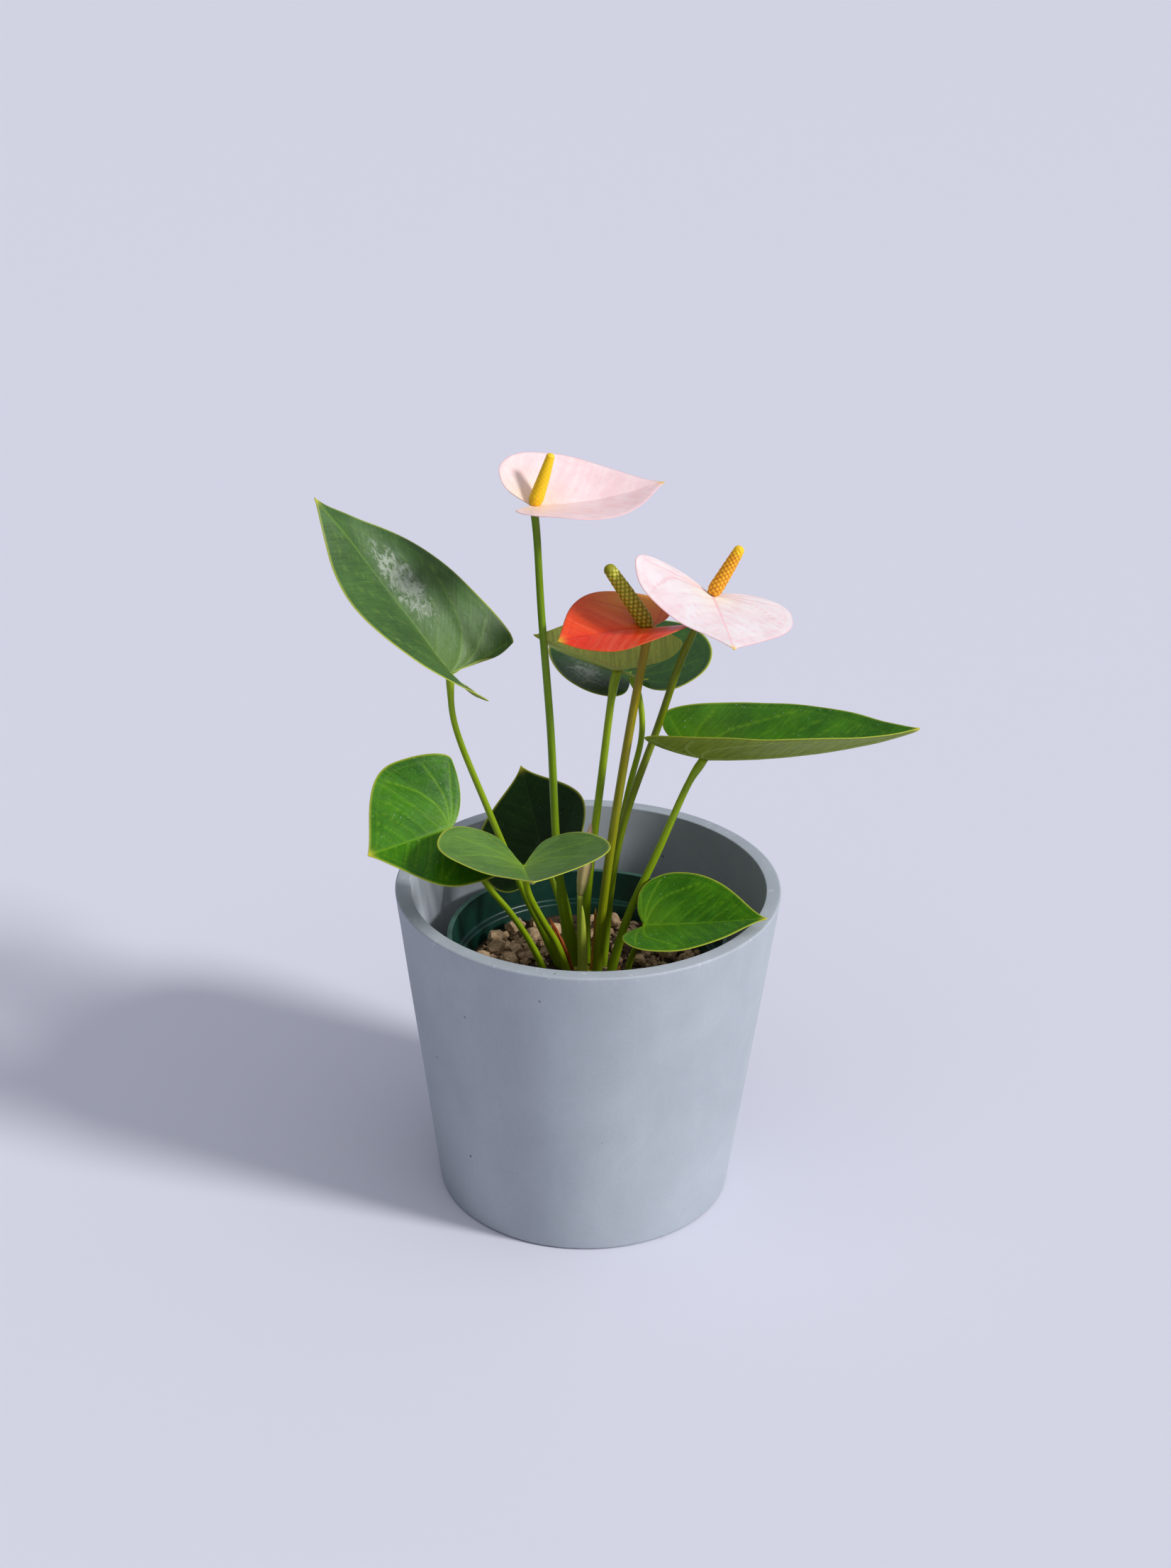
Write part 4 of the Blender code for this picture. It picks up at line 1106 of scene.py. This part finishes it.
def build_plant():
    below = (0.24, 0.32, 0.03)
    cool = leaf_material(
        "leaf_deep_green", (0.026, 0.075, 0.012), (0.052, 0.130, 0.022), (0.15, 0.27, 0.035), below, 0.5, 0.42, 0.36)
    green = leaf_material(
        "leaf_fresh_green", (0.014, 0.090, 0.001), (0.050, 0.200, 0.002), (0.17, 0.36, 0.008), below, 0.9, 0.34)
    # Painted sheen: this pale grey-green base colour stands for the sheen on leaf_front.
    sheen = leaf_material(
        "leaf_grey_sheen", (0.065, 0.160, 0.022), (0.115, 0.240, 0.040), (0.22, 0.38, 0.02), below, 0.5, 0.44, 0.36)
    # Painted shade: this near-black green stands for the shade that leaf_back sits in.
    dark = leaf_material(
        "leaf_shaded_green", (0.003, 0.016, 0.001), (0.008, 0.034, 0.002), (0.02, 0.06, 0.006), below, 0.4, 0.42, 0.15)
    pale = leaf_material(
        "leaf_pale_below", (0.02, 0.09, 0.004), (0.05, 0.16, 0.01), (0.17, 0.3, 0.02), (0.52, 0.58, 0.12), 0.4, 0.4)
    glossy = leaf_material(
        "leaf_glossy_dark", (0.008, 0.040, 0.001), (0.018, 0.085, 0.002), (0.06, 0.16, 0.008), below, 0.6, 0.30, 0.45)
    # Each leaf's material and the place of its whitish patch: share of the length, share of the half width, reach. The
    # patch on leaf_upper_left is dust with a painted sheen; the one on leaf_mid_back is a painted sheen.
    leaf_finish = {
        "leaf_upper_left": (cool, (0.45, -0.30, 0.42)),
        "leaf_lower_left": (green, None),
        "leaf_front": (sheen, None),
        "leaf_back": (dark, None),
        "leaf_low_right": (green, None),
        "leaf_long_right": (green, None),
        "leaf_mid_back": (glossy, (-0.1, 0.6, 0.4)),
        "leaf_mid_front": (pale, None),
    }
    petiole_green = stem_material("petiole_green", (0.19, 0.30, 0.004), (0.30, 0.43, 0.008), (0.10, 0.19, 0.003))
    for blade in LEAVES:
        finish, dust = leaf_finish[blade.name]
        blade_piece(blade, finish, 0.5, 0.16, "leaf", 0.7, dust)
        stem_piece(blade, petiole_green, blade.name.replace("leaf", "petiole"), "petiole", petiole_section, 0.5)
    pink = ((0.88, 0.64, 0.64), (0.85, 0.54, 0.54), (0.90, 0.72, 0.68))
    red = ((0.92, 0.060, 0.010), (0.86, 0.030, 0.005), (0.95, 0.17, 0.08))
    white = ((0.80, 0.69, 0.68), (0.78, 0.58, 0.59), (0.82, 0.74, 0.70))
    spathe_finish = {
        "spathe_pink": spathe_material(
            "spathe_soft_pink", pink, (0.80, 0.40, 0.42), (0.82, 0.42, 0.44), (0.90, 0.66, 0.42), 0.22, 0.36),
        "spathe_red": spathe_material(
            "spathe_orange_red", red, (0.50, 0.012, 0.01), (0.70, 0.12, 0.02), (0.82, 0.30, 0.03), 0.45, 0.28),
        "spathe_white": spathe_material(
            "spathe_blush_white", white, (0.80, 0.34, 0.38), (0.84, 0.42, 0.44), (0.90, 0.80, 0.58), 0.6, 0.36),
    }
    spathe_patch = {
        "spathe_pink": None,
        "spathe_red": (-0.10, -0.75, 0.5),
        "spathe_white": None,
    }
    stalk_finish = {
        "spathe_pink": stem_material("stalk_green", (0.19, 0.29, 0.006), (0.15, 0.27, 0.004), (0.09, 0.18, 0.003)),
        "spathe_red": stem_material("stalk_olive", (0.17, 0.27, 0.004), (0.32, 0.23, 0.006), (0.17, 0.14, 0.003)),
        "spathe_white": stem_material("stalk_moss", (0.17, 0.27, 0.006), (0.19, 0.22, 0.006), (0.10, 0.13, 0.003)),
    }
    spadix_finish = {
        "spathe_pink": spadix_material(
            "spadix_yellow", (0.82, 0.48, 0.002), (0.88, 0.58, 0.002), (0.88, 0.60, 0.004), 0.95),
        "spathe_red": spadix_material(
            "spadix_lime", (0.26, 0.27, 0.002), (0.66, 0.66, 0.07), (0.42, 0.42, 0.01), 0.97),
        "spathe_white": spadix_material(
            "spadix_amber", (0.66, 0.22, 0.001), (0.88, 0.46, 0.004), (0.88, 0.54, 0.004), 0.80),
    }
    for blade in SPATHES:
        blade_piece(blade, spathe_finish[blade.name], 0.45, 0.10, blade.name, 0.9, spathe_patch[blade.name], 0.35)
        name = blade.name.replace("spathe", "flower_stalk")
        stem_piece(blade, stalk_finish[blade.name], name, "flower_stalk", stalk_section, 0.4)
        spadix_piece(blade, spadix_finish[blade.name])


def build_young_growth():
    green = stem_material("young_green", (0.42, 0.46, 0.06), (0.38, 0.47, 0.05), (0.26, 0.34, 0.03))
    bud = stem_material("bud_cream_and_pink", (0.62, 0.58, 0.18), (0.62, 0.36, 0.26), (0.72, 0.55, 0.30))
    foot, top = (-3.1, -3.4, 127.0), (0.8, -3.0, 158.5)
    along = [high - low for low, high in zip(foot, top)]
    spindle_piece("bud_spathe", foot, along, math.dist(foot, top),
                  ((0, 0.7), (0.04, 1.4), (0.2, 2.4), (0.45, 2.9), (0.75, 1.9), (0.95, 0.6), (1, 0.1)),
                  bud, "bud", rolled_section)
    route = smooth_route([(-1.2, -3.6, SOIL_TOP + 1), (-2.6, -3.6, 108), (-3.1, -3.5, 127.5)], 1.6)
    piece = tube_piece("bud_stalk_fine", route, ((0, 1.5), (1, 1.2)), green, stalk_section)
    settle(piece, "young_growth", "bud_stalk")
    spindle_piece("new_leaf_sheath", (-1.6, -9.2, SOIL_TOP + 1), (-0.7, 0, 32), 33,
                  ((0, 2.4), (0.35, 1.95), (0.7, 1.5), (0.88, 0.95), (0.97, 0.45), (1, 0.1)), green,
                  "young_growth", rolled_section)
    rings = [(0, SOIL_TOP - 1.5)]
    for step in range(13):
        share = 1 - step / 12
        ridge = 0.25 * math.sin(step * 2.1)
        rings.append((CROWN_RADIUS * (0.15 + 0.85 * share) + ridge, SOIL_TOP - 1.0 + (CROWN_HEIGHT + 0.8) * (1 - share**2)))
    rings.append((0, SOIL_TOP + CROWN_HEIGHT))
    crown = lathe("crown_fine", rings, green, 96, CROWN_CENTRE, None)
    layer = crown.data.attributes.new("flat", "FLOAT_VECTOR", "POINT")
    for vertex, item in zip(crown.data.vertices, layer.data):
        item.vector = Vector((vertex.co.x, vertex.co.z, vertex.co.y)) / MM
    settle(crown, "young_growth", "crown")


def build_dry_pieces():
    brown = dry_material("dry_sheath_brown", (0.42, 0.085, 0.012), (0.70, 0.20, 0.02))
    orange = dry_material("dry_sheath_orange", (0.72, 0.32, 0.04), (0.75, 0.45, 0.06))
    strip = ((0, 0.9), (0.15, 1.2), (0.45, 1.35), (0.8, 0.9), (0.95, 0.35), (1, 0.08))
    low = SOIL_TOP + 0.2
    spindle_piece("dry_sheath_brown", (-5.0, -7.0, low), (-9.5, -1.5, 27), 29.5, strip, brown, "dry_leaf",
                  flat_section, (0.8, 0, -0.4))
    spindle_piece("dry_sheath_orange", (1.3, -3.2, low), (1.6, 0.1, 28), 29.5,
                  ((0, 0.6), (0.4, 0.8), (0.9, 0.5), (1, 0.08)), orange, "dry_leaf", flat_section, (0.6, 0, 0))
    spindle_piece("small_sheath", (10.8, -9.5, low), (1.6, -0.6, 7), 8.5,
                  ((0, 0.8), (0.4, 0.9), (0.95, 0.3), (1, 0.08)), orange, "dry_leaf", flat_section)
    spindle_piece("dry_leaf_scrap", (-30.5, -3, low + 1.2), (13, -4, 0.4), 13, strip, brown, "dry_leaf",
                  flat_section, (0, 0.8, 0.8))
    spindle_piece("dry_twig", (-16.5, -12.5, low + 0.6), (3.5, 5.0, 1.5), 6.5,
                  ((0, 0.35), (0.5, 0.4), (1, 0.2)), orange, "dry_leaf", stalk_section)


def build_mix():
    pumice = grain_material("pumice_tan", (0.10, 0.055, 0.025), (0.42, 0.27, 0.14), (0.66, 0.48, 0.30))
    earth = grain_material("potting_mix_dark", (0.012, 0.008, 0.005), (0.05, 0.030, 0.016), (0.11, 0.065, 0.035), 300.0)
    soil(earth)
    pebbles(pumice)
    left, right, back = (-30, 14, 11, 0.45), (32, 6, 10, 0.2), (10, 40, 6, 0.1)
    scatter("mix_grains_tan", pumice, 260, (1.0, 2.6), 4, 3, (0.0, 0.7), (left, right, back))
    scatter("mix_granules_fine", pumice, 700, (0.4, 1.1), 2, 5, (0.0, 0.8), ((32, 6, 12, 0.5), left, back))
    scatter("mix_crumbs_dark", earth, 420, (0.6, 2.0), 3, 8, (0.0, 0.9), ((0, 0, 18, 0.4),))


def build_camera():
    tilt, roll = math.radians(CAMERA_ELEVATION), math.radians(CAMERA_ROLL)
    backwards = Vector((0, -math.cos(tilt), math.sin(tilt)))
    upwards = Vector((0, math.sin(tilt), math.cos(tilt)))
    sideways = Vector((1, 0, 0))
    right = sideways * math.cos(roll) + upwards * math.sin(roll)
    above = upwards * math.cos(roll) - sideways * math.sin(roll)
    place = (Vector(CAMERA_TARGET) + backwards * CAMERA_DISTANCE) * MM
    lens = bpy.data.cameras.new("camera")
    lens.lens = CAMERA_LENS
    lens.sensor_width = 36.0
    lens.clip_start = 0.01
    camera = bpy.data.objects.new("camera", lens)
    turn = Matrix((right, above, backwards)).transposed().to_4x4()
    camera.matrix_world = Matrix.Translation(place) @ turn
    bpy.context.scene.collection.objects.link(camera)
    bpy.context.scene.camera = camera


def sky():
    """Soft studio surroundings: bright overhead, darker near the horizon and on the left."""
    world = bpy.data.worlds.new("studio")
    world.use_nodes = True
    tree = world.node_tree
    background = tree.nodes["Background"]
    background.inputs["Color"].default_value = (0.80, 0.83, 1.0, 1.0)
    direction = tree.nodes.new("ShaderNodeTexCoord").outputs["Generated"]
    parts = tree.nodes.new("ShaderNodeSeparateXYZ")
    tree.links.new(direction, parts.inputs["Vector"])
    height = tree.nodes.new("ShaderNodeMath")
    height.operation = "MULTIPLY_ADD"
    height.inputs[1].default_value = SKY_RISE
    height.inputs[2].default_value = SKY_HORIZON
    tree.links.new(parts.outputs["Z"], height.inputs[0])
    side = tree.nodes.new("ShaderNodeMath")
    side.operation = "MULTIPLY_ADD"
    side.inputs[1].default_value = SKY_SIDE
    side.inputs[2].default_value = 1.0
    tree.links.new(parts.outputs["X"], side.inputs[0])
    product = tree.nodes.new("ShaderNodeMath")
    product.operation = "MULTIPLY"
    product.use_clamp = True
    tree.links.new(height.outputs[0], product.inputs[0])
    tree.links.new(side.outputs[0], product.inputs[1])
    tree.links.new(product.outputs[0], background.inputs["Strength"])
    # What the camera sees past the floor is a plain pale tone, which lights nothing.
    seen = tree.nodes.new("ShaderNodeBackground")
    seen.inputs["Color"].default_value = (*BACKGROUND, 1.0)
    choice = tree.nodes.new("ShaderNodeMixShader")
    tree.links.new(tree.nodes.new("ShaderNodeLightPath").outputs["Is Camera Ray"], choice.inputs[0])
    tree.links.new(background.outputs[0], choice.inputs[1])
    tree.links.new(seen.outputs[0], choice.inputs[2])
    tree.links.new(choice.outputs[0], tree.nodes["World Output"].inputs["Surface"])
    bpy.context.scene.world = world


def sun(name, strength, softness, elevation, turn):
    """A distant light: turn is measured from the right towards the front, all in degrees."""
    light = bpy.data.lights.new(name, "SUN")
    light.energy = strength
    light.angle = math.radians(softness)
    light.color = (1.0, 0.98, 0.98)
    made = bpy.data.objects.new(name, light)
    rise, turn = math.radians(elevation), math.radians(turn)
    towards = Vector((math.cos(rise) * math.cos(turn), -math.cos(rise) * math.sin(turn), math.sin(rise)))
    made.rotation_euler = towards.to_track_quat("Z", "Y").to_euler()
    bpy.context.scene.collection.objects.link(made)


def build_studio():
    sky()
    bpy.context.scene.view_settings.view_transform = "Standard"
    sun("key", KEY_STRENGTH, KEY_SOFTNESS, KEY_ELEVATION, KEY_TURN)
    sun("top", TOP_STRENGTH, TOP_SOFTNESS, TOP_ELEVATION, TOP_TURN)
    bpy.ops.mesh.primitive_plane_add(size=80.0)
    floor = bpy.context.object
    floor.name = "floor"
    n = Nodes("floor_pale", Roughness=0.85, Specular_IOR_Level=0.2)
    n.shader.inputs["Base Color"].default_value = (0.635, 0.645, 0.715, 1.0)
    floor.data.materials.append(n.material)


SPHERES = {level: unit_sphere(level) for level in (2, 3, 4, 5)}
build_camera()
build_studio()
cover_pot(pot_material())
nursery_pot(nursery_material())
build_mix()
build_plant()
build_young_growth()
build_dry_pieces()
